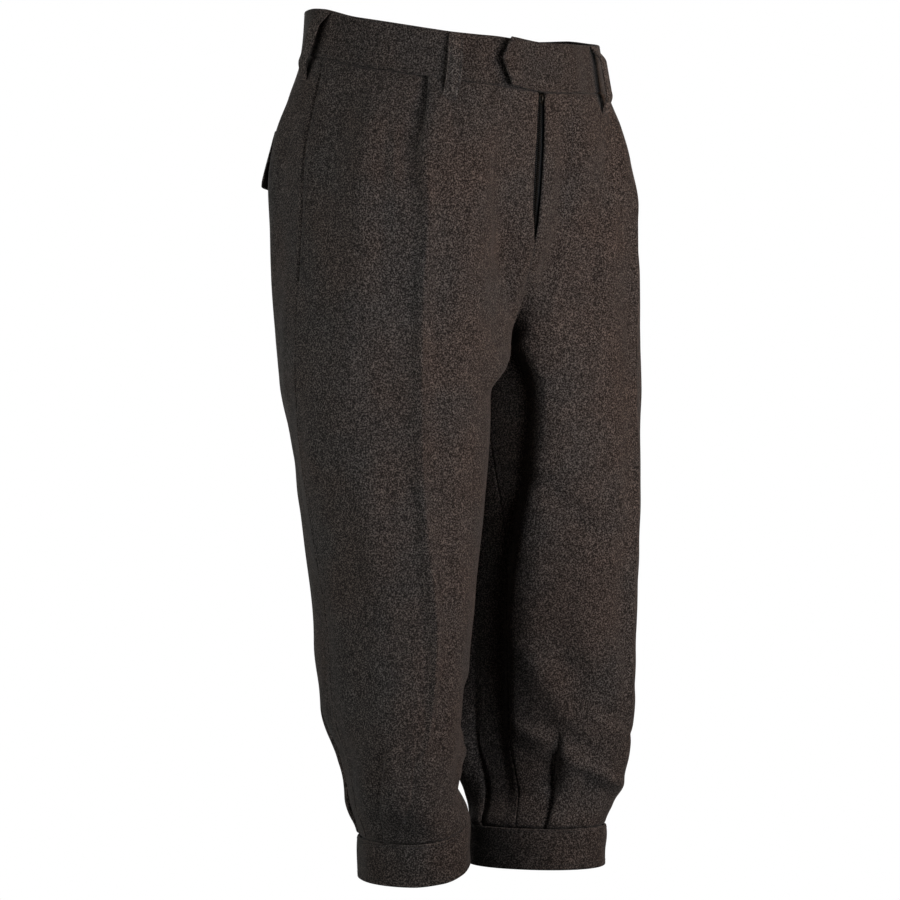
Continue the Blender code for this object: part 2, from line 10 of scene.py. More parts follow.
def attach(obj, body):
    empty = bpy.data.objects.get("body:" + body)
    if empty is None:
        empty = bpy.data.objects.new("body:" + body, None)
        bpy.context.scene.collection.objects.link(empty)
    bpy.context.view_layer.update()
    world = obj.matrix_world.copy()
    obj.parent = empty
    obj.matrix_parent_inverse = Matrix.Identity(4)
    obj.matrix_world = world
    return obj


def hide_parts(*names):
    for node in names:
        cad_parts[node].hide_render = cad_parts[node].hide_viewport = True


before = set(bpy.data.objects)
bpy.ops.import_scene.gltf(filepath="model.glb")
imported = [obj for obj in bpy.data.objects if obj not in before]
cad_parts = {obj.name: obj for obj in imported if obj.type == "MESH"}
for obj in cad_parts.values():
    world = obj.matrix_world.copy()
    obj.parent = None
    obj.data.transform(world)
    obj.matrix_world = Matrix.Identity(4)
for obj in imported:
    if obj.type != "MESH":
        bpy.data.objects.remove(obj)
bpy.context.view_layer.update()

# ---- the form that the solids have, in metres ----
SEAM_GAP = 0.0003
BAND_HEIGHT = 0.044
WAIST_Z = -BAND_HEIGHT / 2
CROTCH_Z = -0.285
KNEE_Z = -0.734
HEM_Z = -0.772
DIP_FADE_Z = -0.200
FLY_BOTTOM_Z = -0.205
FLY_HALF_GAP = 0.0042
TAB_CORNER = 0.041
TAB_POINT = 0.052
UNDERLAP = 0.034
LOOP_WIDTH = 0.014
LOOP_BELOW_SEAM = 0.023
LOOP_STAND_OFF = 0.0090
FLAP_TOP_Z = -0.089
FLAP_HEIGHT = 0.052
FLAP_LIFT = 0.0060

TORSO_COLUMNS = ("z", "half_width", "front_depth", "back_depth", "centre_y", "roundness")
TORSO = np.array([         # roundness is the power of the section, 2 is an ellipse
    (0.022, 0.1500, 0.1200, 0.1175, 0.0055, 1.95),
    (-0.022, 0.1555, 0.1230, 0.1210, 0.0020, 2.00),
    (-0.060, 0.1640, 0.1280, 0.1340, 0.0015, 2.10),
    (-0.100, 0.1720, 0.1320, 0.1470, 0.0025, 2.15),
    (-0.150, 0.1780, 0.1360, 0.1545, -0.0010, 2.15),
    (-0.200, 0.1780, 0.1380, 0.1520, -0.0020, 2.15),
    (-0.285, 0.1790, 0.1380, 0.1465, 0.0005, 2.15),
])
LEG_COLUMNS = ("z", "centre_x", "centre_y", "half_across", "half_front", "half_back",
               "toe", "inseam", "side", "back")
LEG = np.array([
    (-0.100, 0.0800, 0.0150, 0.0960, 0.1240, 0.1425, 17, -89, 87, 163),
    (-0.285, 0.0845, -0.0040, 0.1010, 0.1055, 0.1295, 26, -88, 95, 171),
    (-0.330, 0.0960, -0.0140, 0.0930, 0.0915, 0.1215, 23, -85, 101, 178),
    (-0.390, 0.0940, -0.0155, 0.0860, 0.0925, 0.1085, 24, -80, 108, 186),
    (-0.460, 0.0945, -0.0150, 0.0750, 0.0940, 0.1015, 21, -75, 106, 192),
    (-0.540, 0.0905, -0.0125, 0.0630, 0.0975, 0.0960, 18, -71, 106, 197),
    (-0.620, 0.0890, -0.0100, 0.0560, 0.1000, 0.0935, 20, -68, 105, 200),
    (-0.665, 0.0850, -0.0145, 0.0485, 0.0925, 0.0870, 28, -69, 102, 203),
    (-0.700, 0.0860, -0.0205, 0.0450, 0.0770, 0.0730, 31, -69, 99, 205),
    (-0.734, 0.0760, -0.0255, 0.0480, 0.0655, 0.0625, 29, -66, 96, 206),
    (-0.772, 0.0755, -0.0255, 0.0480, 0.0650, 0.0620, 28, -66, 96, 206),
])
WAIST_DIP = np.array([     # t, and how much lower the waist lies there than at the centre back
    (0.00, 0.0385),
    (0.10, 0.0355),
    (0.25, 0.0280),
    (0.40, 0.0180),
    (0.50, 0.0115),
    (0.60, 0.0095),
    (0.75, 0.0030),
    (0.90, 0.0),
    (1.00, 0.0),
])
HITCH = np.array([         # t, and how much higher the right half lies: waist, knee band, band's seam
    (0.00, 0.0, 0.0160, 0.0090),
    (0.10, 0.0, 0.0140, 0.0040),
    (0.16, -0.0015, 0.0080, 0.0010),
    (0.22, -0.0025, 0.0025, 0.0),
    (0.30, -0.0020, 0.0, 0.0),
    (0.40, -0.0010, 0.0, 0.0),
    (0.50, 0.0030, 0.0, 0.0),
    (0.58, 0.0050, 0.0, 0.0),
    (0.70, 0.0030, 0.0, 0.0),
    (0.80, 0.0010, 0.0, 0.0010),
    (0.90, 0.0, 0.0105, 0.0060),
    (1.00, 0.0, 0.0160, 0.0090),
])
HITCH_TOP_Z, HITCH_OVER = -0.640, 0.080
HALF = {"right": False}    # the half that the piece being made belongs to
HOLLOW_COLUMNS = ("z", "depth")
FRONT_HOLLOW = np.array([  # the centre front lies this much further back than the oval
    (0.022, 0.0),
    (-0.022, 0.0060),
    (-0.060, 0.0130),
    (-0.100, 0.0175),
    (-0.150, 0.0240),
    (-0.200, 0.0180),
    (-0.250, 0.0080),
    (-0.285, 0.0),
])
HOLLOW_REACH = 0.20        # in t
LEG_TOP_Z = -0.060         # where the legs begin to part from the torso's form
LEG_TOP_DROP = 0.040       # it begins this much lower at the back
FORK_FRONT, FORK_BACK = 0.18, 0.30    # in t, how far the fork reaches from the centre
LEG_CLEAR, LEG_CLEAR_SOFT = 0.0016, 0.004    # from the plane between the legs
RING_T = (0.0, 0.25, 0.5, 0.75, 1.0)    # centre front, front crease, side seam, back crease, centre back
TORSO_AZIMUTH = (0.0, 44.4, 92.2, 136.0, 180.0)
LEG_ROUNDNESS = 2.15

# pleats: offsets along and out of the cloth, closed and open, in millimetres
WAIST_PLEAT = np.array([
    (-17.0, 0.0, -32.0, 0.0),
    (-11.5, 1.0, -15.0, -1.3),
    (0.0, 1.2, -5.5, 1.3),
    (1.4, -0.2, 0.0, 4.4),
    (0.0, -1.6, 3.6, 2.4),
    (-7.4, -1.6, 7.5, -0.6),
    (-9.4, -3.2, 11.0, -2.0),
    (-7.4, -4.8, 15.0, -2.2),
    (4.0, -4.0, 21.0, -1.2),
    (14.0, 0.0, 30.0, 0.0),
])
KNEE_PLEAT = np.array([
    (-17.0, 0.0, -22.0, 0.0),
    (-9.5, 1.8, -12.0, 1.0),
    (0.0, 2.0, -4.5, 3.0),
    (1.4, 0.6, 0.0, 3.6),
    (0.0, -0.8, 3.0, 2.0),
    (-5.0, -0.8, 5.5, -0.5),
    (-6.8, -2.5, 7.5, -1.4),
    (-3.0, -4.3, 9.5, -1.2),
    (9.5, 0.0, 13.0, 0.0),
])
PLEAT_LENGTH = 0.140
KNEE_PLEAT_LENGTH = 0.085
PLEAT_HOLLOW = 0.0030
KNEE_PLEAT_SHAPE = {       # length, lift of the ridge and length of its end, for the uneven ones
    "right_outer": (0.072, 1.5, 0.030), "left_inner": (0.080, 2.4, 0.016)}
CREASE_END_Z = (-0.560, -0.680)
CREASE_NARROWS_Z = (-0.450, -0.650)
CREASE_NARROWED = 0.42
PATH_COLUMNS = ("z", "right_inner", "right_outer", "left_inner", "left_outer")
KNEE_PATHS = np.array([    # t of the folded edge of each front knee pleat
    (-0.480, 0.115, 0.430, 0.115, 0.440),
    (-0.600, 0.115, 0.320, 0.130, 0.440),
    (-0.655, 0.115, 0.305, 0.135, 0.440),
    (-0.690, 0.115, 0.315, 0.115, 0.440),
    (-0.734, 0.115, 0.395, 0.093, 0.440),
])

# the largest folds: t_top, z_top, t_bottom, z_bottom, half_width, height
FOLDS_RIGHT = (
    (0.355, -0.050, 0.345, -0.230, 0.016, 0.0040),
    (0.405, -0.050, 0.440, -0.170, 0.013, -0.0035),
    (0.140, -0.060, 0.150, -0.200, 0.018, 0.0030),
    (0.300, -0.180, 0.300, -0.560, 0.016, -0.0040),
    (0.300, -0.600, 0.380, -0.700, 0.020, 0.0050),
    (0.150, -0.680, 0.170, -0.730, 0.014, 0.0040),
    (0.620, -0.060, 0.640, -0.260, 0.022, 0.0035),
    (0.860, -0.200, 0.800, -0.330, 0.020, -0.0050),
    (0.900, -0.320, 0.760, -0.480, 0.022, 0.0040),
    (0.700, -0.560, 0.800, -0.690, 0.022, 0.0050),
)
FOLDS_LEFT = (
    (0.100, -0.050, 0.120, -0.280, 0.014, 0.0045),
    (0.055, -0.060, 0.060, -0.160, 0.010, -0.0030),
    (0.175, -0.070, 0.170, -0.260, 0.012, -0.0035),
    (0.300, -0.180, 0.300, -0.500, 0.016, -0.0040),
    (0.060, -0.400, 0.180, -0.470, 0.018, -0.0040),
    (0.050, -0.640, 0.240, -0.700, 0.018, 0.0060),
    (0.380, -0.080, 0.370, -0.240, 0.018, 0.0035),
    (0.620, -0.080, 0.630, -0.240, 0.022, 0.0035),
    (0.870, -0.210, 0.800, -0.340, 0.020, -0.0050),
    (0.720, -0.520, 0.830, -0.660, 0.022, 0.0050),
)

# ---- what the cloth shell adds ----
PANEL_HALF = 0.0007       # half the thickness of the panels' cloth
PANEL_RAISE = 0.0003      # brings its outer face to the solid's
BAND_HALF = 0.0013
POCKET_TOP_Z, POCKET_END_Z = -0.034, -0.238
POCKET_LIFT, POCKET_GAP = 0.0007, 0.0016
WELT = 0.0006             # the pressed side seam stands up this much
PANEL_WAVES = ((0.0009, 0.085, 0.4), (0.00028, 0.030, 0.6))    # height, wavelength, upright
HAIRLINE = 0.00004        # each panel stops this far from a closed seam
STITCH_PITCH, STITCH_LENGTH, THREAD = 0.0033, 0.0025, 0.00022
STITCH_OUT = 0.0030       # lines for stitches lie this far outside the cloth's middle, then settle on it
CUFF_LINE_OUT, PANEL_LINE_OUT = 0.0035, 0.0040    # the same, from the bare form
BAND_STITCH, TAB_STITCH, LOOP_STITCH, FLAP_STITCH = 0.0020, 0.0022, 0.0024, 0.0055    # in from the edge
CUFF_STITCHES = (0.0024, 0.0330)    # below the knee band's upper edge
BAND_EDGE, LOOP_EDGE, FLAP_EDGE = 0.0013, 0.0008, 0.0010    # radii of the turned edges
LOOP_HALF, FLAP_HALF = 0.00085, 0.00095    # half the thickness
LOOP_STEPS, LOOP_COLUMNS = 46, 9    # rows and columns of a loop between its turned edges
FLAP_ENDS_T, FLAP_WIDTH, FLAP_CORNER = (0.690, 0.915), 0.118, 0.010
FLY_STITCH, FLY_CURVE_Z, FLY_CURVE_HEIGHT = 0.036, -0.168, 0.034    # the row beside the fly, curved below
SETTLE_REACH = 0.012      # no stitch settles on cloth further off
TAB_SHARE = 0.92          # distance from the tab's slanted edge for each metre along the band

# a panel's edge from its hidden end to plain cloth, in millimetres from the seam:
# sewn_in, sewn_out, open_in, open_out, and under_in, under_out for the facing below the pocket's mouth
PANEL_EDGE = np.array([
    (0.71, -3.4, 9.00, -1.9, -13.0, -3.6),
    (0.71, -2.3, 4.00, -1.8, -7.0, -3.5),
    (0.71, -1.2, 1.60, -1.5, -2.2, -3.4),
    (0.78, -0.6, 0.74, -0.75, 0.20, -2.6),
    (1.10, -0.18, 1.50, -0.05, 0.75, -0.6),
    (2.20, 0.0, 3.00, 0.0, 1.80, 0.0),
    (6.00, 0.0, 6.00, 0.0, 6.00, 0.0),
])
ROW_EDGE = np.array([      # the same at the waist and the knee band: from the seam, out
    (-5.0, -3.1), (-0.5, -2.9), (0.80, -2.1), (1.25, -1.0), (2.00, -0.30), (3.30, -0.05), (5.0, 0.0)])

CORNER_COLUMNS = ("z", "t", "height", "hollow")
CORNER = np.array([        # where the left leg turns inwards: the cloth stands out there, then falls in
    (-0.222, 0.050, 0.0, 0.0),
    (-0.250, 0.080, 0.0040, 0.0090),
    (-0.275, 0.094, 0.0065, 0.0130),
    (-0.300, 0.100, 0.0080, 0.0140),
    (-0.340, 0.100, 0.0090, 0.0135),
    (-0.400, 0.088, 0.0090, 0.0120),
    (-0.460, 0.060, 0.0080, 0.0115),
    (-0.520, 0.040, 0.0060, 0.0105),
    (-0.580, 0.033, 0.0050, 0.0095),
    (-0.640, 0.032, 0.0035, 0.0085),
    (-0.690, 0.032, 0.0, 0.0070),
    (-0.715, 0.032, 0.0, 0.0045),
    (-0.728, 0.032, 0.0, 0.0008),
    (-0.734, 0.032, 0.0, 0.0),
])

# smaller folds of the shell, same columns as above
CREASES_RIGHT = (
    (0.075, -0.228, 0.105, -0.318, 0.024, 0.0065),
    (0.120, -0.650, 0.120, -0.682, 0.024, 0.0038),
    (0.120, -0.590, 0.120, -0.636, 0.026, -0.0040),
    (0.125, -0.704, 0.130, -0.726, 0.024, -0.0026),
    (0.332, -0.662, 0.402, -0.722, 0.008, -0.0042),
    (0.306, -0.078, 0.300, -0.140, 0.006, 0.0022),
    (0.320, -0.110, 0.316, -0.215, 0.007, -0.0020),
    (0.435, -0.045, 0.478, -0.165, 0.010, -0.0024),
    (0.371, -0.060, 0.366, -0.240, 0.013, 0.0016),
    (0.226, -0.690, 0.226, -0.728, 0.014, 0.0022),
    (0.620, -0.300, 0.620, -0.410, 0.035, -0.0022),
    (0.620, -0.580, 0.620, -0.690, 0.035, -0.0024),
    (0.100, -0.665, 0.120, -0.705, 0.012, -0.0024),
    (0.285, -0.055, 0.292, -0.150, 0.007, -0.0012),
    (0.430, -0.060, 0.470, -0.150, 0.008, 0.0012),
    (0.380, -0.230, 0.370, -0.420, 0.020, 0.0016),
    (0.330, -0.300, 0.335, -0.520, 0.014, 0.0014),
    (0.190, -0.240, 0.200, -0.420, 0.020, 0.0014),
    (0.090, -0.220, 0.150, -0.300, 0.012, -0.0014),
    (0.040, -0.262, 0.130, -0.330, 0.012, 0.0020),
    (0.120, -0.420, 0.130, -0.600, 0.022, 0.0016),
    (0.420, -0.520, 0.430, -0.650, 0.020, 0.0016),
    (0.210, -0.640, 0.330, -0.690, 0.012, -0.0018),
    (0.250, -0.700, 0.260, -0.731, 0.009, 0.0018),
    (0.330, -0.705, 0.330, -0.731, 0.008, -0.0014),
    (0.560, -0.100, 0.575, -0.200, 0.014, -0.0015),
    (0.680, -0.140, 0.660, -0.300, 0.016, -0.0018),
    (0.940, -0.230, 0.900, -0.300, 0.012, 0.0022),
    (0.700, -0.400, 0.690, -0.560, 0.020, 0.0020),
    (0.900, -0.520, 0.860, -0.640, 0.016, -0.0018),
    (0.600, -0.660, 0.640, -0.728, 0.011, 0.0020),
    (0.760, -0.700, 0.760, -0.731, 0.009, 0.0018),
)
CREASES_LEFT = (
    (0.235, -0.070, 0.250, -0.260, 0.012, 0.0018),
    (0.055, -0.565, 0.150, -0.645, 0.016, 0.0045),
    (0.130, -0.575, 0.240, -0.640, 0.018, -0.0030),
    (0.118, -0.655, 0.100, -0.700, 0.009, -0.0068),
    (0.340, -0.380, 0.340, -0.580, 0.035, 0.0026),
    (0.340, -0.610, 0.350, -0.655, 0.030, 0.0045),
    (0.360, -0.690, 0.360, -0.715, 0.030, -0.0030),
    (0.215, -0.060, 0.220, -0.160, 0.008, 0.0012),
    (0.320, -0.060, 0.330, -0.170, 0.010, -0.0014),
    (0.440, -0.090, 0.450, -0.260, 0.014, -0.0016),
    (0.140, -0.300, 0.150, -0.440, 0.014, 0.0015),
    (0.210, -0.260, 0.215, -0.480, 0.016, 0.0016),
    (0.030, -0.262, 0.100, -0.330, 0.012, -0.0018),
    (0.070, -0.480, 0.090, -0.600, 0.016, 0.0018),
    (0.400, -0.420, 0.410, -0.620, 0.022, 0.0016),
    (0.150, -0.610, 0.300, -0.660, 0.012, -0.0020),
    (0.220, -0.700, 0.225, -0.731, 0.009, -0.0016),
    (0.320, -0.690, 0.330, -0.731, 0.011, 0.0018),
    (0.570, -0.110, 0.560, -0.230, 0.013, -0.0014),
    (0.700, -0.120, 0.690, -0.280, 0.016, -0.0018),
    (0.930, -0.230, 0.880, -0.310, 0.012, 0.0022),
    (0.660, -0.380, 0.680, -0.540, 0.020, 0.0018),
    (0.880, -0.540, 0.850, -0.650, 0.016, -0.0018),
    (0.610, -0.650, 0.650, -0.728, 0.011, 0.0020),
    (0.780, -0.700, 0.770, -0.731, 0.009, -0.0016),
)


LEVEL, MIRROR, ACROSS = np.array([1.0, 1.0, 0.0]), np.array([-1.0, 1.0, 1.0]), np.array([1.0, 0.0, 0.0])


def hermite(u, a, b, slope_a, slope_b):
    return ((2 * u**3 - 3 * u**2 + 1) * a + (u**3 - 2 * u**2 + u) * slope_a
            + (3 * u**2 - 2 * u**3) * b + (u**3 - u**2) * slope_b)


def curve(xs, ys, x):
    """A smooth curve through table points with rising xs, level where the table turns."""
    xs, ys = np.asarray(xs, float), np.asarray(ys, float)
    step = np.diff(xs)
    slope = np.diff(ys) / step
    m = np.zeros(len(xs))
    m[0], m[-1] = slope[0], slope[-1]
    for i in range(1, len(xs) - 1):
        if slope[i - 1] * slope[i] > 0:
            w1, w2 = 2 * step[i] + step[i - 1], step[i] + 2 * step[i - 1]
            m[i] = (w1 + w2) / (w1 / slope[i - 1] + w2 / slope[i])
    x = np.clip(x, xs[0], xs[-1])
    i = np.clip(np.searchsorted(xs, x, side="right") - 1, 0, len(xs) - 2)
    u, h = (x - xs[i]) / step[i], step[i]
    return hermite(u, ys[i], ys[i + 1], h * m[i], h * m[i + 1])


def column(rows, names, name, z):
    return curve(rows[::-1, 0], rows[::-1, names.index(name)], z)


def smooth(x):
    x = np.clip(x, 0.0, 1.0)
    return x * x * (3 - 2 * x)


def both(z, t):
    return np.broadcast_arrays(np.asarray(z, float), np.asarray(t, float))


def from_centre(t):
    return np.minimum(t, 1 - t)


def torso_section(z, t):
    a, front, back, cy, power = (column(TORSO, TORSO_COLUMNS, n, z) for n in TORSO_COLUMNS[1:])
    az = np.radians(curve(RING_T, TORSO_AZIMUTH, t))
    s, c = np.sin(az), np.cos(az)
    p = 2 / power
    return a * np.abs(s)**p, cy - np.where(c > 0, front, back) * np.sign(c) * np.abs(c)**p


def leg_section(z, t):
    cx, cy, a, front, rear, toe, inseam, side, back = (
        column(LEG, LEG_COLUMNS, n, z) for n in LEG_COLUMNS[1:])
    knots = np.stack([back - 360, inseam, toe, side, back, inseam + 360, toe + 360], -1)
    j = np.clip((t * 4).astype(int), 0, 3)
    u = t * 4 - j
    k0, k1, k2, k3 = (np.take_along_axis(knots, (j + m)[..., None], -1)[..., 0] for m in range(4))
    az = np.radians(hermite(u, k1, k2, (k2 - k0) / 2, (k3 - k1) / 2))
    q = az - np.radians(toe)
    n = LEG_ROUNDNESS
    b = np.where(np.cos(q) > 0, front, rear)
    r = ((np.abs(np.sin(q)) / a)**n + (np.abs(np.cos(q)) / b)**n)**(-1 / n)
    return cx + r * np.sin(az), cy - r * np.cos(az)


def leg_share(z, t):
    """How far the form has turned from torso, 0, to leg, 1."""
    back_top = LEG_TOP_Z - LEG_TOP_DROP * smooth((t - 0.5) / 0.2)
    f = np.clip((LEG_TOP_Z - z) / (LEG_TOP_Z - CROTCH_Z), 0.0, 1.0)
    side = smooth((back_top - z) / (back_top - CROTCH_Z))
    fork = 1 - np.sqrt(1 - f**np.where(t < 0.5, 3.0, 2.0))
    near = 1 - smooth(np.minimum(t / FORK_FRONT, (1 - t) / FORK_BACK))
    return side * (1 - near) + fork * near


def dip(z, t):
    """How much lower a row lies at t than at the centre back."""
    fade = np.clip((z - DIP_FADE_Z) / (WAIST_Z - DIP_FADE_Z), 0.0, 1.0)
    low = curve(WAIST_DIP[:, 0], WAIST_DIP[:, 1], t) * fade
    if HALF["right"]:
        knee = smooth((HITCH_TOP_Z - z) / HITCH_OVER)
        waist, band, seam = (curve(HITCH[:, 0], HITCH[:, i], t) for i in (1, 2, 3))
        low = low - waist * fade - band * knee - seam * knee * smooth((z - HEM_Z) / (KNEE_Z - HEM_Z))
    return low


def surface(z, t):
    """The bare form of the left half, at the height a row has at the side."""
    z, t = both(z, t)
    tx, ty = torso_section(z, t)
    lx, ly = leg_section(z, t)
    w = leg_share(z, t)
    x = (1 - w) * tx + w * lx
    apart = np.where(z < CROTCH_Z + 1e-6, 1.0, smooth(from_centre(t) / 0.02))
    floor, k = LEG_CLEAR * apart, LEG_CLEAR_SOFT * apart
    x = floor + (x - floor + np.sqrt((x - floor)**2 + k**2)) / 2
    hollow = column(FRONT_HOLLOW, HOLLOW_COLUMNS, "depth", z) * (1 - smooth(t / HOLLOW_REACH))
    y = (1 - w) * ty + w * ly + hollow
    return np.stack([x, y, z - dip(z, t)], -1)


def unit(v):
    return v / np.maximum(np.linalg.norm(v, axis=-1, keepdims=True), 1e-12)


def outward(z, t):
    """Outward normal of the bare form."""
    e = d = 0.004
    z, t = both(z, t)
    closed = z < CROTCH_Z - 1e-6
    lo = np.where(closed & (t - e < 0), t - e + 1, np.maximum(t - e, 0.0))
    hi = np.where(closed & (t + e > 1), t + e - 1, np.minimum(t + e, 1.0))
    along = surface(z, hi) - surface(z, lo)
    down = surface(np.maximum(z - d, HEM_Z), t) - surface(z + d, t)
    return unit(np.cross(down, along))


def speed(z, t):
    """Metres round the section for one unit of t."""
    e = 0.004
    t0, t1 = np.clip(t - e, 0, 1), np.clip(t + e, 0, 1)
    return np.linalg.norm(surface(z, t1) - surface(z, t0), axis=-1) / (t1 - t0)


def fold_height(z, t, folds):
    """Height of the folds of a table, none on the seams."""
    z, t = both(z, t)
    total = np.zeros(z.shape)
    pace = speed(z, np.clip(t, 0, 1))
    for t_top, z_top, t_bottom, z_bottom, half_width, height in folds:
        f = (z_top - z) / (z_top - z_bottom)
        centre = t_top + (t_bottom - t_top) * np.clip(f, -0.1, 1.1)
        window = smooth((f + 0.18) / 0.36) * smooth((1.18 - f) / 0.36)
        total = total + height * window * np.exp(-((t - centre) * pace / half_width)**2)
    near_seam = smooth(np.minimum(np.abs(t - 0.5), from_centre(t)) / 0.03)
    return total * near_seam * smooth((WAIST_Z - z) / 0.03) * smooth((z - KNEE_Z) / 0.02)


def corner_height(z, t):
    """The soft edge along which the left leg turns inwards, and the hollow behind it."""
    z, t = both(z, t)
    past = (np.where(t > 0.5, t - 1, t) - column(CORNER, CORNER_COLUMNS, "t", z)) * speed(z, np.clip(t, 0, 1))
    width = np.where(past > 0, 0.030, 0.011)
    fallen = smooth((-past - 0.006) / 0.018) * (1 - smooth((-past - 0.066) / 0.034))
    at_seam = np.exp(-(from_centre(t) * speed(z, np.clip(t, 0, 1)) / 0.006)**2)
    joined = smooth((z - CROTCH_Z + 0.004) / 0.008) * at_seam
    return (column(CORNER, CORNER_COLUMNS, "height", z) * np.exp(-(past / width)**2)
            - column(CORNER, CORNER_COLUMNS, "hollow", z) * fallen) * (1 - joined)


def fly_gap(z):
    """Half the width of the open fly."""
    f = np.clip((WAIST_Z - z) / (WAIST_Z - FLY_BOTTOM_Z), 0, 1)
    opened = np.where(f < 0.5, 0.80 + 0.20 * np.sin(np.pi * f), 1.0) * (1 - np.clip(2 * f - 1, 0, 1)**3)
    return SEAM_GAP / 2 + FLY_HALF_GAP * opened


def ring_point(z, t, out=0.0):
    """A point of the form, or of its mirror image for t below 0, moved out."""
    z, t = both(z, t)
    flip = np.where(t < 0, -1.0, 1.0)
    t = np.abs(t)
    point = surface(z, t) + outward(z, t) * np.broadcast_to(out, z.shape)[..., None]
    point[..., 0] *= flip
    return point


def lengths_along(points):
    return np.concatenate([[0], np.cumsum(np.linalg.norm(np.diff(points, axis=0), axis=1))])


WAIST_RUN = np.linspace(0, 1, 600)
WAIST_LENGTHS = lengths_along(surface(WAIST_Z, WAIST_RUN))


def waist_t(distance):
    """t at this distance from the centre front along the waist."""
    return np.sign(distance) * np.interp(np.abs(distance), WAIST_LENGTHS, WAIST_RUN)


def ripple(points, wavelength, seed, upright):
    """A smooth uneven wave over space; upright below 1 draws it out downwards."""
    rng = np.random.default_rng(seed)
    k = unit(rng.normal(size=(16, 3))) * (2 * np.pi / wavelength) * rng.uniform(0.6, 1.4, (16, 1))
    k[:, 2] *= upright
    phase = rng.uniform(0, 2 * np.pi, 16)
    return np.cos(points @ k.T + phase).sum(-1) / np.sqrt(8)


# ---- mesh makers ----
PIECES = {}


def add_mesh(name, verts, faces, mirror=False):
    verts = np.array(verts, float)
    if mirror:
        verts = verts * MIRROR
        faces = [tuple(reversed(f)) for f in faces]
    mesh = bpy.data.meshes.new(name)
    mesh.from_pydata(verts.tolist(), [], faces)
    mesh.validate()
    mesh.shade_smooth()
    piece = bpy.data.objects.new(name, mesh)
    bpy.context.scene.collection.objects.link(piece)
    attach(piece, "root")
    PIECES[name] = piece
    return piece


def add_cloth(node_name, verts, faces, mirror=False, slot="wool"):
    """The cloth that stands for a CAD node."""
    piece = add_mesh(node_name + "_cloth", verts, faces, mirror)
    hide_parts(node_name)
    return piece


def grid_normals(grid, closed=False):
    along = np.roll(grid, -1, 1) - np.roll(grid, 1, 1) if closed else np.gradient(grid, axis=1)
    return unit(np.cross(np.gradient(grid, axis=0), along))


def quads(numbers, closed=False):
    """Faces between neighbours in a grid of vertex numbers."""
    after = np.roll(numbers, -1, 1)
    faces = np.stack([numbers[:-1], numbers[1:], after[1:], after[:-1]], -1)
    return (faces if closed else faces[:, :-1]).reshape(-1, 4)


def wall(grid, half):
    """Closed wall about a middle surface."""
    rows, cols = grid.shape[:2]
    size = rows * cols
    offset = grid_normals(grid) * half
    verts = np.concatenate([(grid + offset).reshape(-1, 3), (grid - offset).reshape(-1, 3)])
    cells = quads(np.arange(size).reshape(rows, cols))
    faces = [tuple(f) for f in np.concatenate([cells, cells[:, ::-1] + size]).tolist()]
    for a in range(cols - 1):
        b = size - cols + a
        faces += [(a, a + 1, size + a + 1, size + a), (b + 1, b, size + b, size + b + 1)]
    for a in range(0, size - cols, cols):
        b = a + cols - 1
        faces += [(a + cols, a, size + a, size + a + cols), (b, b + cols, size + b + cols, size + b)]
    return verts, faces


def tube_faces(start, rings, sides):
    """Faces of a closed tube whose rings are numbered from `start`."""
    last = start + (rings - 1) * sides
    faces = [(o + q, o + w, o + sides + w, o + sides + q)
             for o in range(start, last, sides) for q, w in zip(range(sides), (*range(1, sides), 0))]
    return faces + [tuple(reversed(range(start, start + sides))), tuple(range(last, last + sides))]


def pillow(outer, inner, closed=False):
    """Two faces of a sheet, joined along its border, where they meet."""
    rows, cols = outer.shape[:2]
    verts = np.concatenate([outer.reshape(-1, 3), inner.reshape(-1, 3)])
    ident = np.arange(rows * cols).reshape(rows, cols)
    back = ident + rows * cols
    back[0], back[-1] = ident[0], ident[-1]
    if not closed:
        back[:, 0], back[:, -1] = ident[:, 0], ident[:, -1]
    faces = np.concatenate([quads(ident, closed), quads(back, closed)[:, ::-1]])
    used, faces = np.unique(faces, return_inverse=True)
    return verts[used], [tuple(f) for f in faces.reshape(-1, 4).tolist()]


def thick_sheet(mid, half, dent, closed=False):
    """Sheet about a middle surface, with grooves in its outer face."""
    normal = grid_normals(mid, closed)
    return pillow(mid + normal * (half + dent)[..., None], mid - normal * half[..., None], closed)


def edge_steps(length, radius, count):
    """Distances from one edge to the other, crowded at both."""
    near = radius * (1 - np.cos(np.arange(5) * np.pi / 8))
    return np.concatenate([near[:-1], np.linspace(radius, length - radius, count), length - near[:-1][::-1]])


def rounded(e, radius):
    return np.sqrt(np.clip(1 - (1 - np.clip(e / radius, 0, 1))**2, 0, 1))


def soft_edges(e, length, radius):
    return rounded(e, radius) * rounded(length - e, radius)


def groove(e, at, depth, width=0.0007):
    return -depth * np.exp(-((e - at) / width)**2)


def spline(points, fine):
    """Centripetal curve through points[row, k], `fine` steps between neighbours."""
    p = np.concatenate([2 * points[:, :1] - points[:, 1:2], points, 2 * points[:, -1:] - points[:, -2:-1]], 1)
    out = []
    for i in range(points.shape[1] - 1):
        knots = [0.0]
        for m in range(i, i + 3):
            chord = np.linalg.norm(p[:, m + 1] - p[:, m], axis=-1, keepdims=True)
            knots.append(knots[-1] + chord**0.5 + 1e-9)
        for f in np.arange(fine) / fine:
            k = knots[1] + (knots[2] - knots[1]) * f
            row = [p[:, i + m] for m in range(4)]
            for spans in (((0, 1), (1, 2), (2, 3)), ((0, 2), (1, 3)), ((1, 2),)):
                row = [(row[j] * (knots[b] - k) + row[j + 1] * (k - knots[a])) / (knots[b] - knots[a])
                       for j, (a, b) in enumerate(spans)]
            out.append(row[0])
    out.append(points[:, -1])
    return np.stack(out, 1)


# ---- panels ----
def over(z, span):
    """From 0 at the upper end of the span to 1 at its lower end."""
    return smooth((span[0] - z) / (span[0] - span[1]))


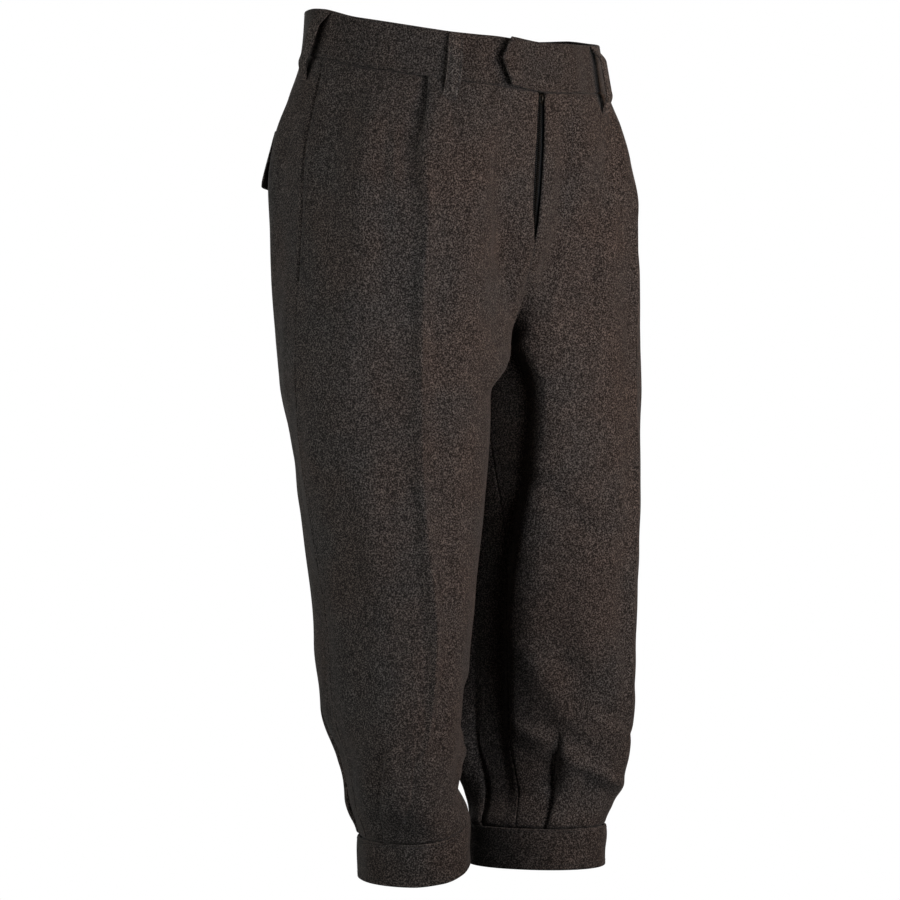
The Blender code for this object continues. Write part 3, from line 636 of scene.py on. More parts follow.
def pleat_t(path, z):
    return column(KNEE_PATHS, PATH_COLUMNS, path, z) if isinstance(path, str) else np.full(len(z), path)


def pleat(table, t_centre, direction, place, z, path=None):
    """t and offset of one pleat's fine columns in every row."""
    if place == "waist":
        closing = np.clip(1 - (WAIST_Z - z) / PLEAT_LENGTH, 0, 1)
        fade = 1 - over(z, CREASE_END_Z)
        hollow = PLEAT_HOLLOW * np.sin(np.pi * closing)
        width = 1 - (1 - CREASE_NARROWED) * over(z, CREASE_NARROWS_Z)
    else:
        long, lift, end = KNEE_PLEAT_SHAPE.get(path, (KNEE_PLEAT_LENGTH, 0.6, 0.05))
        closing = np.clip(1 - (z - KNEE_Z) / long, 0, 1)
        fade = 1 - smooth((z - KNEE_Z - long) / end)
        hollow = lift * PLEAT_HOLLOW * np.sin(np.pi * closing)
        width = np.ones(len(z))
    along = smooth((1 - closing) / 0.75)[:, None]
    out = smooth((1 - closing - 0.40) / 0.60)[:, None]
    u = table[:, 0] * (1 - along) + table[:, 2] * along * width[:, None]
    n = (table[:, 1] * (1 - out) + table[:, 3] * out) * fade[:, None]
    n[:, 1:5] += hollow[:, None] * 1000
    fine = spline(np.stack([u, n], -1), 4 if place == "waist" else 3)
    t = t_centre[:, None] + direction * fine[..., 0] / 1000 / speed(z, t_centre)[:, None]
    n = fine[..., 1] / 1000
    return (t, n) if direction > 0 else (t[:, ::-1], n[:, ::-1])


def between(a, b, count):
    f = np.arange(1, count + 1) / (count + 1)
    return a[:, None] + (b - a)[:, None] * f


def edge_columns(z, t_seam, towards, gap, opened, kind=2):
    """t and offset of a panel's edge, hidden end first."""
    pace = speed(z, t_seam + 0.014 * towards)[:, None]
    opened = opened[:, None]
    inward, out = (PANEL_EDGE[:, i] * (1 - opened) + PANEL_EDGE[:, kind + i] * opened for i in (0, 1))
    return t_seam + towards * (inward / 1000 + gap[:, None]) / pace, out / 1000


def panel_heights():
    top, bottom = WAIST_Z - SEAM_GAP, KNEE_Z + SEAM_GAP
    body = np.concatenate([
        np.linspace(top - 0.0075, -0.190, 62), np.linspace(-0.192, -0.330, 64),
        np.linspace(-0.3335, -0.620, 68), np.linspace(-0.6225, bottom + 0.0070, 46)])
    z = np.concatenate([top - ROW_EDGE[:, 0] / 1000, body, bottom + ROW_EDGE[::-1, 0] / 1000])
    out = np.concatenate([ROW_EDGE[:, 1], np.zeros(len(body)), ROW_EDGE[::-1, 1]]) / 1000
    return z, out


def panel(name, front, folds, creases, mirror, seed):
    """One quarter of the garment, between its seams, the waistband and the knee band."""
    HALF["right"] = mirror
    z, row_out = panel_heights()
    zero = np.zeros(len(z))
    fly = smooth((z - FLY_BOTTOM_Z) / 0.012)
    pocket = smooth((z - POCKET_END_Z) / 0.006) * smooth((POCKET_TOP_Z - z) / 0.006)
    hair = np.full(len(z), HAIRLINE)
    if front:
        first = edge_columns(z, 0.0, 1, np.where(z > FLY_BOTTOM_Z, fly_gap(z), HAIRLINE), fly)
        last = edge_columns(z, 0.5, -1, hair + POCKET_GAP * pocket, pocket)
        side = "right" if mirror else "left"
        pleats = ((KNEE_PLEAT, side + "_inner", -1, "knee"), (WAIST_PLEAT, 0.25, 1, "waist"),
                  (KNEE_PLEAT, side + "_outer", 1, "knee"))
        plain = (10, 12, 14, 3)
    else:
        first = edge_columns(z, 0.5, 1, hair, pocket, 4)
        last = edge_columns(z, 1.0, -1, hair, zero)
        pleats = ((KNEE_PLEAT, 0.625, -1, "knee"), (KNEE_PLEAT, 0.870, 1, "knee"))
        plain = (16, 34, 14)
    ts, ns = [first[0]], [first[1]]
    for (table, centre, direction, place), count in zip(pleats, plain):
        t, n = pleat(table, pleat_t(centre, z), direction, place, z, centre)
        gap = between(ts[-1][:, -1], t[:, 0], count)
        ts += [gap, t]
        ns += [np.zeros(gap.shape), n]
    gap = between(ts[-1][:, -1], last[0][:, -1], plain[-1])
    ts += [gap, last[0][:, ::-1]]
    ns += [np.zeros(gap.shape), last[1][:, ::-1]]
    t, n = np.concatenate(ts, 1), np.concatenate(ns, 1)
    zz = z[:, None]
    t = np.clip(t, 0.0, 1.0)
    normal = outward(zz, t)
    level = unit(normal * LEVEL + np.array([0.0, 1e-9, 0.0]))
    raised = fold_height(zz, t, folds) + fold_height(zz, t, creases) + PANEL_RAISE + row_out[:, None]
    from_side = (t - 0.5) * speed(zz, t)
    raised = raised + WELT * smooth((POCKET_END_Z - zz) / 0.03) * np.exp(-(from_side / 0.0035)**2)
    if not front:
        lifted = np.exp(-(from_side / 0.007)**2) * smooth(from_side / 0.001)
        raised = raised + POCKET_LIFT * pocket[:, None] * lifted
    if not mirror:
        raised = raised + corner_height(zz, t)
    grid = surface(zz, t) + level * n[..., None] + normal * raised[..., None]
    calm = (smooth(np.minimum(np.abs(t - 0.5), from_centre(t)) / 0.06)
            * smooth((WAIST_Z - zz) / 0.06) * smooth((zz - KNEE_Z) / 0.03))
    wave = sum(height * ripple(grid, length, seed + i, upright)
               for i, (height, length, upright) in enumerate(PANEL_WAVES))
    grid = grid + normal * (wave * calm)[..., None]
    verts, faces = wall(grid, PANEL_HALF)
    verts[:, 0] = np.maximum(verts[:, 0], 0.00005)
    return add_cloth(name, verts, faces, mirror)


# ---- bands ----
def band_reach(left, v):
    """How far past the centre front the band goes, at share v of its height."""
    if not left:
        return np.full(np.shape(v), UNDERLAP)
    soft = np.sqrt((2 * v - 1)**2 + 0.06**2) - 0.03
    return TAB_CORNER + (TAB_POINT - TAB_CORNER) * (1 - np.clip(soft, 0, 1))


def band_out(left, distance):
    lap = 1 - smooth((distance - (0.037 if left else 0.0)) / 0.030)
    out = 0.0034 * lap if left else -0.0010 * lap
    if left:
        out = out + 0.0052 * smooth((-distance - 0.012) / 0.038)
    return out + 0.0002


def waistband(name, left):
    HALF["right"] = not left
    e_top = edge_steps(BAND_HEIGHT, BAND_EDGE, 22)
    v = e_top / BAND_HEIGHT
    z = (WAIST_Z + BAND_HEIGHT * (1 - v))[:, None]
    start = -band_reach(left, v)[:, None]
    fixed, total = 0.075, WAIST_LENGTHS[-1]
    curl = BAND_EDGE * (1 - np.cos(np.arange(4) * np.pi / 8))
    first = start + np.concatenate([curl, [BAND_EDGE, 0.0018, 0.0024, 0.0032]])[None, :] / TAB_SHARE
    middle = first[:, -1:] + (fixed - first[:, -1:]) * np.linspace(0, 1, 56)[None, 1:]
    tail = np.concatenate([np.linspace(fixed, total - BAND_EDGE, 130)[1:], total - curl[::-1]])
    distance = np.concatenate([first, middle, np.broadcast_to(tail, (len(z), len(tail)))], 1)
    t = np.where(distance < total - 1e-9, waist_t(distance), 1.0)
    e_end = (distance - start) * TAB_SHARE
    half = (BAND_HALF * soft_edges(e_top, BAND_HEIGHT, BAND_EDGE))[:, None]
    half = half * rounded(e_end, BAND_EDGE) * rounded(total - distance, BAND_EDGE)
    stitch = groove(e_end, TAB_STITCH, 0.0004) if left else 0.0
    bottom = groove(BAND_HEIGHT - e_top, BAND_STITCH, 0.00035)[:, None]
    dent = np.minimum(bottom, stitch) * (e_end > 0.0015)
    mid = ring_point(z, t, band_out(left, distance))
    mid[:, -1, 0] = 0.00012
    wave = 0.00035 * ripple(mid, 0.06, 5 + left, 1.0) * smooth((distance - 0.06) / 0.03)
    mid = mid + outward(z, np.abs(t)) * LEVEL * wave[..., None]
    return add_cloth(name, *thick_sheet(mid, half, dent), not left)


def knee_band(name, mirror, seed):
    HALF["right"] = mirror
    height, edge = KNEE_Z - HEM_Z, 0.0014
    e = edge_steps(height, edge, 18)[:, None]
    t = np.arange(220) / 220
    mid = ring_point(KNEE_Z - e, t, 0.0007 + 0.0005 * np.sin(np.pi * np.clip(e / height, 0, 1)))
    wave = 0.0007 * ripple(mid, 0.055, seed, 1.2) * np.sin(np.pi * e / height)
    mid = mid + unit(outward(KNEE_Z - e, t) * LEVEL) * wave[..., None]
    half = BAND_HALF * soft_edges(e, height, edge)
    dent = groove(e, CUFF_STITCHES[0], 0.00035) + groove(e, CUFF_STITCHES[1], 0.00025)
    return add_cloth(name, *thick_sheet(mid, half, dent * (half > 0.0012), True), mirror)


# ---- loops and flap ----
def belt_loop(name, t_centre, mirror, extra=0.0, lean=0.0, stand=LOOP_STAND_OFF, twist=0.0):
    """A loop sewn down at both ends; `lean` is in t from top to bottom, the others in metres."""
    HALF["right"] = mirror
    top, bottom = WAIST_Z + BAND_HEIGHT - 0.001, WAIST_Z - LOOP_BELOW_SEAM
    long = top - bottom
    e = edge_steps(long, LOOP_EDGE, LOOP_STEPS)
    f = e / long
    z = top - e
    on_band, on_panel = 0.0015 + 0.0010 + SEAM_GAP, 0.0020 + SEAM_GAP + extra
    low = smooth((f - 0.68) / 0.25)
    out = on_band * (1 - low) + on_panel * low
    out = out + (stand - 0.0013) * smooth((0.5 - np.abs(f - 0.5)) / 0.26)
    across = edge_steps(LOOP_WIDTH, LOOP_EDGE, LOOP_COLUMNS)
    z, at, out = z[:, None], (t_centre + lean * (f - 0.5))[:, None], out[:, None]
    if t_centre == 1.0:
        normal, side = np.array([0.0, 1.0, 0.0]), -ACROSS
    else:
        step = 0.005 / speed(z, at)
        normal, side = outward(z, at), unit(surface(z, at + step) - surface(z, at - step))
    out = out + 0.0001 + twist * np.sin(np.pi * f)[:, None] * (1 - 2 * across / LOOP_WIDTH)
    mid = surface(z, at) + normal * out[..., None] + side * (across - LOOP_WIDTH / 2)[:, None]
    half = LOOP_HALF * np.outer(soft_edges(e, long, LOOP_EDGE), soft_edges(across, LOOP_WIDTH, LOOP_EDGE))
    dent = groove(across, 0.0020, 0.0012, 0.0008) + groove(LOOP_WIDTH - across, 0.0020, 0.0009, 0.0007)
    return add_cloth(name, *thick_sheet(mid, half, dent * (half > 0.0008)), mirror)


def flap_t(a):
    """t at this distance from one end of the flap."""
    return FLAP_ENDS_T[0] + (FLAP_ENDS_T[1] - FLAP_ENDS_T[0]) * a / FLAP_WIDTH


def flap_middle(k, t, lift=0.0):
    """The flap's middle surface at share k of its height."""
    z, t = np.broadcast_arrays(FLAP_TOP_Z - FLAP_HEIGHT * k, t)
    out = 0.0020 + SEAM_GAP + FLAP_LIFT * np.clip(k, 0, 1)**1.6 + lift
    return surface(z, t) + outward(z, t) * (out + fold_height(z, t, FOLDS_RIGHT))[..., None]


def pocket_flap():
    HALF["right"] = True
    e = edge_steps(FLAP_HEIGHT, FLAP_EDGE, 24)[:, None]
    a = edge_steps(FLAP_WIDTH, FLAP_EDGE, 46)
    from_end = np.minimum(a, FLAP_WIDTH - a)
    cut = np.clip(FLAP_CORNER - from_end, 0, FLAP_CORNER)
    rise = FLAP_CORNER - np.sqrt(np.clip(FLAP_CORNER**2 - cut**2, 0, None))
    mid = flap_middle(e / FLAP_HEIGHT * (1 - rise / FLAP_HEIGHT), flap_t(a))
    half = FLAP_HALF * soft_edges(e, FLAP_HEIGHT, FLAP_EDGE) * soft_edges(a, FLAP_WIDTH, FLAP_EDGE)
    dent = groove(np.minimum(from_end, FLAP_HEIGHT - e), FLAP_STITCH, 0.0003) * (half > 0.0009)
    return add_cloth("back_pocket_flap", *thick_sheet(mid, half, dent), True)


# ---- stitching ----
def tree(*names):
    """Search tree over the faces of these pieces."""
    verts, faces = [], []
    for name in names:
        mesh = PIECES[name].data
        base = len(verts)
        verts += [v.co.copy() for v in mesh.vertices]
        faces += [tuple(base + i for i in p.vertices) for p in mesh.polygons]
    return BVHTree.FromPolygons(verts, faces)


def settle(points, target):
    """Points brought onto the cloth, with its normals there."""
    spots, normals = [], []
    for p in points:
        hit = target.find_nearest(Vector(p), SETTLE_REACH)
        if hit[0] is None:
            continue
        spots.append(np.array(hit[0]))
        normals.append(np.array(hit[1]))
    return np.array(spots), np.array(normals)


def resample(points, pitch):
    """Points a pitch apart along a line."""
    points = np.asarray(points, float)
    run = lengths_along(points)
    at = np.arange(pitch / 2, run[-1], pitch)
    return np.stack([np.interp(at, run, points[:, i]) for i in range(3)], -1)


# along the thread as a share of its length, width, and height in radii
STITCH_RINGS = (
    (-0.5, 0.30, -0.9), (-0.36, 0.85, -0.1), (0.0, 1.0, 0.25), (0.36, 0.85, -0.1), (0.5, 0.30, -0.9))
STITCH_SIDES, STITCH_TURN = 5, 1.2566


def stitches(name, runs, pitch=STITCH_PITCH, length=STITCH_LENGTH):
    """Threads lying along runs of (points, target); one piece."""
    verts, faces = [], []
    rng = np.random.default_rng(len(name))
    for points, target in runs:
        spots, normals = settle(resample(points, pitch), target)
        if len(spots) < 3:
            continue
        along = unit(np.gradient(spots, axis=0))
        for p, n, a in zip(spots, normals, along):
            n = unit(n - a * (n @ a))
            s = np.cross(n, a)
            a = unit(a + s * rng.uniform(-0.05, 0.05))
            faces += tube_faces(len(verts), len(STITCH_RINGS), STITCH_SIDES)
            for u, w, h in STITCH_RINGS:
                centre = p + a * u * length + n * THREAD * (0.35 + h)
                for q in range(STITCH_SIDES):
                    c, d = math.cos(q * STITCH_TURN), math.sin(q * STITCH_TURN)
                    verts.append(centre + (s * c + n * d) * THREAD * w)
    return add_mesh(name, verts, faces)


def mirrored(points):
    return np.asarray(points) * MIRROR


# ---- materials ----
def feed(tree_, item, inputs):
    """Sets each input, by name or number, to its number or colour, or links its socket."""
    for key, value in inputs.items():
        if isinstance(value, bpy.types.NodeSocket):
            tree_.links.new(value, item.inputs[key])
        else:
            item.inputs[key].default_value = (*value, 1.0) if isinstance(value, tuple) else value
    return item


def node(tree_, kind, inputs, **settings):
    item = tree_.nodes.new(kind)
    for key, value in settings.items():
        setattr(item, key, value)
    return feed(tree_, item, inputs)


def noise(tree_, vector, scale, detail=2.0, roughness=0.5):
    return node(tree_, "ShaderNodeTexNoise", {
        "Vector": vector, "Scale": scale, "Detail": detail, "Roughness": roughness}).outputs["Fac"]


def ramp(tree_, value, low, high, to_low=0.0, to_high=1.0):
    return node(tree_, "ShaderNodeMapRange", {
        "Value": value, "From Min": low, "From Max": high, "To Min": to_low, "To Max": to_high,
    }).outputs["Result"]


def blend_colour(tree_, factor, a, b, how="MIX"):
    return node(tree_, "ShaderNodeMix", {0: factor, 6: a, 7: b}, data_type="RGBA", blend_type=how).outputs[2]


def weighted(tree_, *terms):
    """The sum of values, each times its weight."""
    total = 0.0
    for value, weight in terms:
        inputs = {0: value, 1: weight, 2: total}
        total = node(tree_, "ShaderNodeMath", inputs, operation="MULTIPLY_ADD").outputs[0]
    return total


def new_material(name):
    mat = bpy.data.materials.new(name)
    mat.use_nodes = True
    return mat, mat.node_tree, mat.node_tree.nodes["Principled BSDF"]


def object_material(name):
    """A new material, its nodes and shader, and the place on the object."""
    mat, tree_, shader = new_material(name)
    return mat, tree_, shader, node(tree_, "ShaderNodeTexCoord", {}).outputs["Object"]


def dress(tree_, shader, colour, roughness, height, strength, distance):
    bump = node(tree_, "ShaderNodeBump", {"Height": height, "Strength": strength, "Distance": distance})
    feed(tree_, shader, {"Base Color": colour, "Roughness": roughness, "Normal": bump.outputs["Normal"]})


def wool(name, painted_brightness=1.0):
    """Milled wool of mixed fibres: dark ground, pale hairs, a soft felted face."""
    mat, tree_, shader, place = object_material(name)
    fleck = noise(tree_, place, 760.0, 1.0, 0.6)
    hairs = noise(tree_, place, 1500.0, 1.0, 0.6)
    cloud = noise(tree_, place, 150.0, 2.0, 0.6)
    broad = noise(tree_, place, 16.0)
    # painted_brightness scales all of the wool's colours: below 1 it paints shade, above 1 it paints light
    dark, mid, pale = (tuple(painted_brightness * c for c in colour) for colour in (
        (0.0088, 0.0070, 0.0063), (0.0306, 0.0248, 0.0220), (0.1460, 0.1190, 0.1050)))
    mix = weighted(tree_, (fleck, 0.70), (hairs, 0.30))
    ground = blend_colour(tree_, ramp(tree_, mix, 0.385, 0.50), dark, mid)
    ground = blend_colour(tree_, ramp(tree_, mix, 0.495, 0.640), ground, pale)
    ground = blend_colour(tree_, ramp(tree_, cloud, 0.3, 0.7, 0.0, 0.25), ground, (0.0, 0.0, 0.0))
    warm = blend_colour(tree_, ramp(tree_, broad, 0.35, 0.65), (0.95, 1.0, 1.02), (1.06, 1.0, 0.96))
    ground = blend_colour(tree_, 1.0, ground, warm, "MULTIPLY")
    height = weighted(tree_, (fleck, 0.6), (hairs, 0.8), (cloud, 0.8))
    dress(tree_, shader, ground, ramp(tree_, fleck, 0.3, 0.7, 0.88, 1.0), height, 0.55, 0.0005)
    feed(tree_, shader, {"Sheen Weight": 0.12, "Sheen Roughness": 0.45, "Sheen Tint": (0.85, 0.8, 0.74),
                         "Specular IOR Level": 0.12})
    return mat


def thread(name, colour):
    mat, tree_, shader, place = object_material(name)
    twist = noise(tree_, place, 3200.0)
    colour = blend_colour(tree_, ramp(tree_, twist, 0.3, 0.7), tuple(0.6 * c for c in colour), colour)
    dress(tree_, shader, colour, ramp(tree_, twist, 0.3, 0.7, 0.55, 0.75), twist, 0.6, 0.0001)
    return mat


def tape(name):
    mat, tree_, shader, place = object_material(name)
    wave = node(tree_, "ShaderNodeTexWave", {"Vector": place, "Scale": 420.0, "Distortion": 0.6},
                bands_direction="Z")
    grain = noise(tree_, place, 900.0)
    colour = blend_colour(tree_, grain, (0.0018, 0.0022, 0.0026), (0.0065, 0.0080, 0.0085))
    dress(tree_, shader, colour, ramp(tree_, grain, 0.3, 0.7, 0.7, 0.9), wave.outputs["Fac"], 0.5, 0.0002)
    return mat


def brass(name, low, high):
    mat, tree_, shader, place = object_material(name)
    wear = noise(tree_, place, 700.0, 3.0, 0.6)
    colour = blend_colour(tree_, ramp(tree_, wear, 0.35, 0.65), low, high)
    dress(tree_, shader, colour, ramp(tree_, wear, 0.3, 0.7, 0.5, 0.28), wear, 0.25, 0.0001)
    feed(tree_, shader, {"Metallic": 1.0})
    return mat


# ---- zip ----
ZIP_DEPTH = 0.0010 + SEAM_GAP + 0.0020    # of the tape's middle behind the form
TAPE_HALF = 0.00045
TAPE_COLUMNS = (0.001, 0.0025, 0.004, 0.006, 0.008, 0.0098)    # either side of its centre
SQUARE = ((-1, -1), (1, -1), (1, 1), (-1, 1))
TOOTH_PITCH = 0.0017
# a tooth's rings: out from its place, half width as a share of 3/4 of the pitch, half height
TOOTH = ((-0.0009, 0.42, 0.0005), (-0.0003, 0.5, 0.0007), (0.0008, 0.38, 0.0007), (0.0016, 0.34, 0.0006),
         (0.0019, 0.25, 0.0004))
SLIDER_Z = WAIST_Z - 0.0075
# the slider's plan: down the zip, half width; its layers: height, share of the plan; places across the plan
SLIDER_PLAN = ((-0.0046, 0.0016), (-0.0041, 0.0024), (-0.0028, 0.0030), (-0.0010, 0.0031), (0.0012, 0.0028),
               (0.0030, 0.0023), (0.0041, 0.0018), (0.0045, 0.0011))
SLIDER_LAYERS = ((-0.0011, 0.82), (-0.0009, 1.0), (0.0006, 1.0), (0.0010, 0.92), (0.0012, 0.7))
SLIDER_SHARES = (-1.0, -0.5, 0.0, 0.5, 1.0)
BRIDGE_HALF_WIDTH, BRIDGE_HALF = 0.0006, 0.00035


def fly_frame(z):
    """Point, outward normal and downward direction at the centre front."""
    down = unit(surface(z - 0.006, 0.0) - surface(z + 0.006, 0.0))
    return surface(z, 0.0), unit(np.cross(down, ACROSS)), down


def add_bar(verts, faces, rings):
    """A bar with four sides through rings of centre, half width and half height."""
    faces += tube_faces(len(verts), len(rings), 4)
    verts += [centre + wide * p + high * q for centre, wide, high in rings for p, q in SQUARE]


def zip_tape():
    grid = []
    for z in np.linspace(WAIST_Z - 0.004, -0.192, 70):
        centre, normal, _ = fly_frame(z)
        row = []
        for a in (*(-a for a in reversed(TAPE_COLUMNS)), *TAPE_COLUMNS):
            sag = (surface(z, abs(a) / speed(z, 0.02)) - centre) * (1 - ACROSS)
            row.append(centre + sag - normal * ZIP_DEPTH + ACROSS * a)
        grid.append(row)
    return add_cloth("zip_tape", *wall(np.array(grid), TAPE_HALF), slot="zip_tape")


def zip_chain():
    """The closed teeth, from either side in turn."""
    verts, faces = [], []
    run = np.linspace(WAIST_Z - 0.0125, -0.190, 400)
    lengths = lengths_along(surface(run, 0.0))
    for i, at in enumerate(np.arange(0, lengths[-1], TOOTH_PITCH / 2)):
        centre, normal, down = fly_frame(float(np.interp(at, lengths, run)))
        side = ACROSS if i % 2 else -ACROSS
        place = centre - normal * (ZIP_DEPTH - 0.0011) + side * 0.0009
        add_bar(verts, faces, [
            (place + side * u, down * w * TOOTH_PITCH * 0.75, normal * h) for u, w, h in TOOTH])
    return add_mesh("zip_teeth", verts, faces)


def zip_slider_pieces():
    """The slider's body and the bridge on it."""
    centre, normal, down = fly_frame(SLIDER_Z)
    middle = centre - normal * 0.0014
    verts = [middle + down * d * (0.5 + 0.5 * shrink) + ACROSS * w * s * shrink + normal * height
             for height, shrink in SLIDER_LAYERS for d, w in SLIDER_PLAN for s in SLIDER_SHARES]
    cols = len(SLIDER_SHARES)
    size = len(SLIDER_PLAN) * cols
    end = size - cols
    rim = [*range(0, end, cols), *range(end, size), *range(end - 1, cols - 1, -cols), *range(cols - 1, 0, -1)]
    faces = [(o + a, o + b, o + size + b, o + size + a)
             for o in range(0, size * (len(SLIDER_LAYERS) - 1), size) for a, b in zip(rim, rim[1:] + rim[:1])]
    cells = quads(np.arange(size).reshape(-1, cols))
    faces += np.concatenate([cells[:, ::-1], cells + size * (len(SLIDER_LAYERS) - 1)]).tolist()
    body = add_mesh("zip_slider_body", verts, faces)
    verts, faces = [], []
    add_bar(verts, faces, [
        (middle + down * (-0.0030 + 0.0052 * f) + normal * (0.0012 + 0.0014 * math.sin(math.pi * f)**0.6),
         ACROSS * BRIDGE_HALF_WIDTH, normal * BRIDGE_HALF) for f in np.linspace(0, 1, 13)])
    bridge = add_mesh("zip_slider_bridge", verts, faces)
    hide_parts("zip_slider")
    return body, bridge


# ---- build ----
front_right = panel("front_right", True, FOLDS_RIGHT, CREASES_RIGHT, True, 11)
front_left = panel("front_left", True, FOLDS_LEFT, CREASES_LEFT, False, 23)
back_right = panel("back_right", False, FOLDS_RIGHT, CREASES_RIGHT, True, 37)
back_left = panel("back_left", False, FOLDS_LEFT, CREASES_LEFT, False, 41)
band_right = waistband("waistband_right", False)
band_left = waistband("waistband_left", True)
cuff_right = knee_band("knee_band_right", True, 3)
cuff_left = knee_band("knee_band_left", False, 9)
loops = [
    belt_loop("belt_loop_front_right", float(waist_t(0.0930)) + 0.004, True, 0.0004,
              lean=0.0146, stand=0.0040, twist=0.0012),
    belt_loop("belt_loop_front_left", float(waist_t(0.086)), False),
    belt_loop("belt_loop_side_right", 0.525, True, lean=0.07),
    belt_loop("belt_loop_side_left", 0.525, False, lean=0.07),
    belt_loop("belt_loop_back", 1.0, False),
]
flap = pocket_flap()
HALF["right"] = False
zip_strip, zip_teeth = zip_tape(), zip_chain()
zip_slider, zip_bridge = zip_slider_pieces()

panel_tree = tree("front_right_cloth", "front_left_cloth", "back_right_cloth", "back_left_cloth")
band_tree = tree("waistband_right_cloth", "waistband_left_cloth")
tab_tree = tree("waistband_left_cloth")
cuff_tree = tree("knee_band_right_cloth", "knee_band_left_cloth")


def band_line(left, e_bottom, start, end):
    """A line along the waistband, at this height above its lower edge."""
    HALF["right"] = not left
    distance = np.linspace(start, end, 400)
    line = ring_point(WAIST_Z + e_bottom, waist_t(distance), band_out(left, distance) + STITCH_OUT)
    return line if left else mirrored(line)


def tab_line():
    """Round the end of the tab."""
    HALF["right"] = False
    v = np.linspace(0.05, 0.95, 80)
    z = WAIST_Z + BAND_HEIGHT * (1 - v)
    distance = -band_reach(True, v) + TAB_STITCH / TAB_SHARE
    return ring_point(z, waist_t(distance), band_out(True, distance) + STITCH_OUT)


whole = WAIST_LENGTHS[-1] - 0.002
band_runs = [
    (band_line(True, BAND_STITCH, -TAB_CORNER + 0.002, whole), tab_tree),
    (band_line(False, BAND_STITCH, 0.060, whole), band_tree),
    (tab_line(), tab_tree),
    (band_line(True, BAND_HEIGHT - TAB_STITCH, -TAB_CORNER + 0.002, whole), tab_tree),
    (band_line(False, BAND_HEIGHT - TAB_STITCH, 0.0, whole), band_tree),
]
band_thread = stitches("waistband_stitching", band_runs)


def on_both(z, t_at, out, target):
    """The same line on the left half and, mirrored, on the right."""
    runs = []
    for right in (False, True):
        HALF["right"] = right
        line = ring_point(z, t_at(z), out)
        runs.append((mirrored(line) if right else line, target))
    return runs


t_round = np.linspace(0, 1, 300)
cuff_runs = [run for e in CUFF_STITCHES
             for run in on_both(KNEE_Z - e, lambda z: t_round, CUFF_LINE_OUT, cuff_tree)]
cuff_thread = stitches("knee_band_stitching", cuff_runs)


def fly_point(z, across):
    return ring_point(z, across / speed(z, 0.04), PANEL_LINE_OUT)


HALF["right"] = False
j_line = [fly_point(z, FLY_STITCH) for z in np.linspace(WAIST_Z - 0.003, FLY_CURVE_Z, 60)]
for a in np.linspace(0, math.pi / 2, 16)[1:]:
    j_line.append(fly_point(FLY_CURVE_Z - FLY_CURVE_HEIGHT * math.sin(a),
                            0.0005 + (FLY_STITCH - 0.0005) * math.cos(a)))
pocket_z = np.linspace(POCKET_TOP_Z - 0.002, POCKET_END_Z, 120)
pocket_runs = on_both(pocket_z, lambda z: 0.5 - 0.0060 / speed(z, 0.49), PANEL_LINE_OUT, panel_tree)
fly_thread = stitches("fly_and_pocket_stitching", [(np.array(j_line), panel_tree)] + pocket_runs)

HALF["right"] = True
flap_run = flap_t(np.linspace(FLAP_STITCH, FLAP_WIDTH - FLAP_STITCH, 60))
side_k = np.linspace(0.02, 1 - FLAP_STITCH / FLAP_HEIGHT, 30)
flap_line = np.concatenate([
    flap_middle(side_k, flap_run[0], STITCH_OUT),
    flap_middle(side_k[-1], flap_run, STITCH_OUT),
    flap_middle(side_k[::-1], flap_run[-1], STITCH_OUT)])
flap_top = flap_middle(0.04, np.linspace(0.692, 0.913, 60), STITCH_OUT)
flap_tree = tree("back_pocket_flap_cloth")
flap_thread = stitches("flap_stitching", [(mirrored(flap_line), flap_tree), (mirrored(flap_top), flap_tree)])

loop_runs = []
rows, cols = (len(edge_steps(LOOP_WIDTH, LOOP_EDGE, n)) for n in (LOOP_STEPS, LOOP_COLUMNS))
across = edge_steps(LOOP_WIDTH, LOOP_EDGE, LOOP_COLUMNS)
for item in loops:
    outer = np.array([v.co[:] for v in item.data.vertices])[:rows * cols].reshape(rows, cols, 3)
    own = tree(item.name)
    lines = []
    for at in (LOOP_STITCH, LOOP_WIDTH - LOOP_STITCH):
        j = int(np.clip(np.searchsorted(across, at) - 1, 0, cols - 2))
        f = (at - across[j]) / (across[j + 1] - across[j])
        line = outer[3:-3, j] * (1 - f) + outer[3:-3, j + 1] * f
        lines.append((line, np.cross(np.gradient(line, axis=0), outer[3:-3, -1] - outer[3:-3, 0])))
    for row in (-6, -7):
        line = outer[row, 3:-3]
        lines.append((line, np.cross(outer[-4, 3:-3] - outer[-9, 3:-3], np.gradient(line, axis=0))))
    lift = -0.0006 if item.name.endswith("right_cloth") else 0.0006    # mirrored rows run the other way
    loop_runs += [(line + unit(out) * lift, own) for line, out in lines]
loop_thread = stitches("belt_loop_stitching", loop_runs, pitch=0.0026, length=0.0020)


# ---- finishes ----
brown_black = thread("sewing_thread", (0.020, 0.017, 0.0145))
# painted glint: the slider's bridge gets a lighter grey metal than the rest of the blackened zip, so that it
# shines
brass_painted_glint = brass("brass_painted_glint", (0.040, 0.038, 0.034), (0.13, 0.125, 0.115))
black_brass = brass("blackened_brass", (0.003, 0.0032, 0.003), (0.014, 0.015, 0.014))
FINISHES = (
    (wool("wool_melange"), (front_right, front_left, back_right, back_left, flap)),
    # painted shade: the waist and knee bands take a darker copy of the same wool, 0.90 of its brightness
    (wool("wool_melange_bands_painted_shade", 0.90), (band_right, band_left, cuff_right, cuff_left)),
    # painted light: the belt loops take a lighter copy of the same wool, 1.28 of its brightness, so they
    # stand out from the band
    (wool("wool_melange_loops_painted_light", 1.28), loops),
    (brown_black, (band_thread, cuff_thread, fly_thread, flap_thread, loop_thread)),
    (tape("zip_tape_weave"), (zip_strip,)),
    (black_brass, (zip_teeth, zip_slider)),
    (brass_painted_glint, (zip_bridge,)),
)
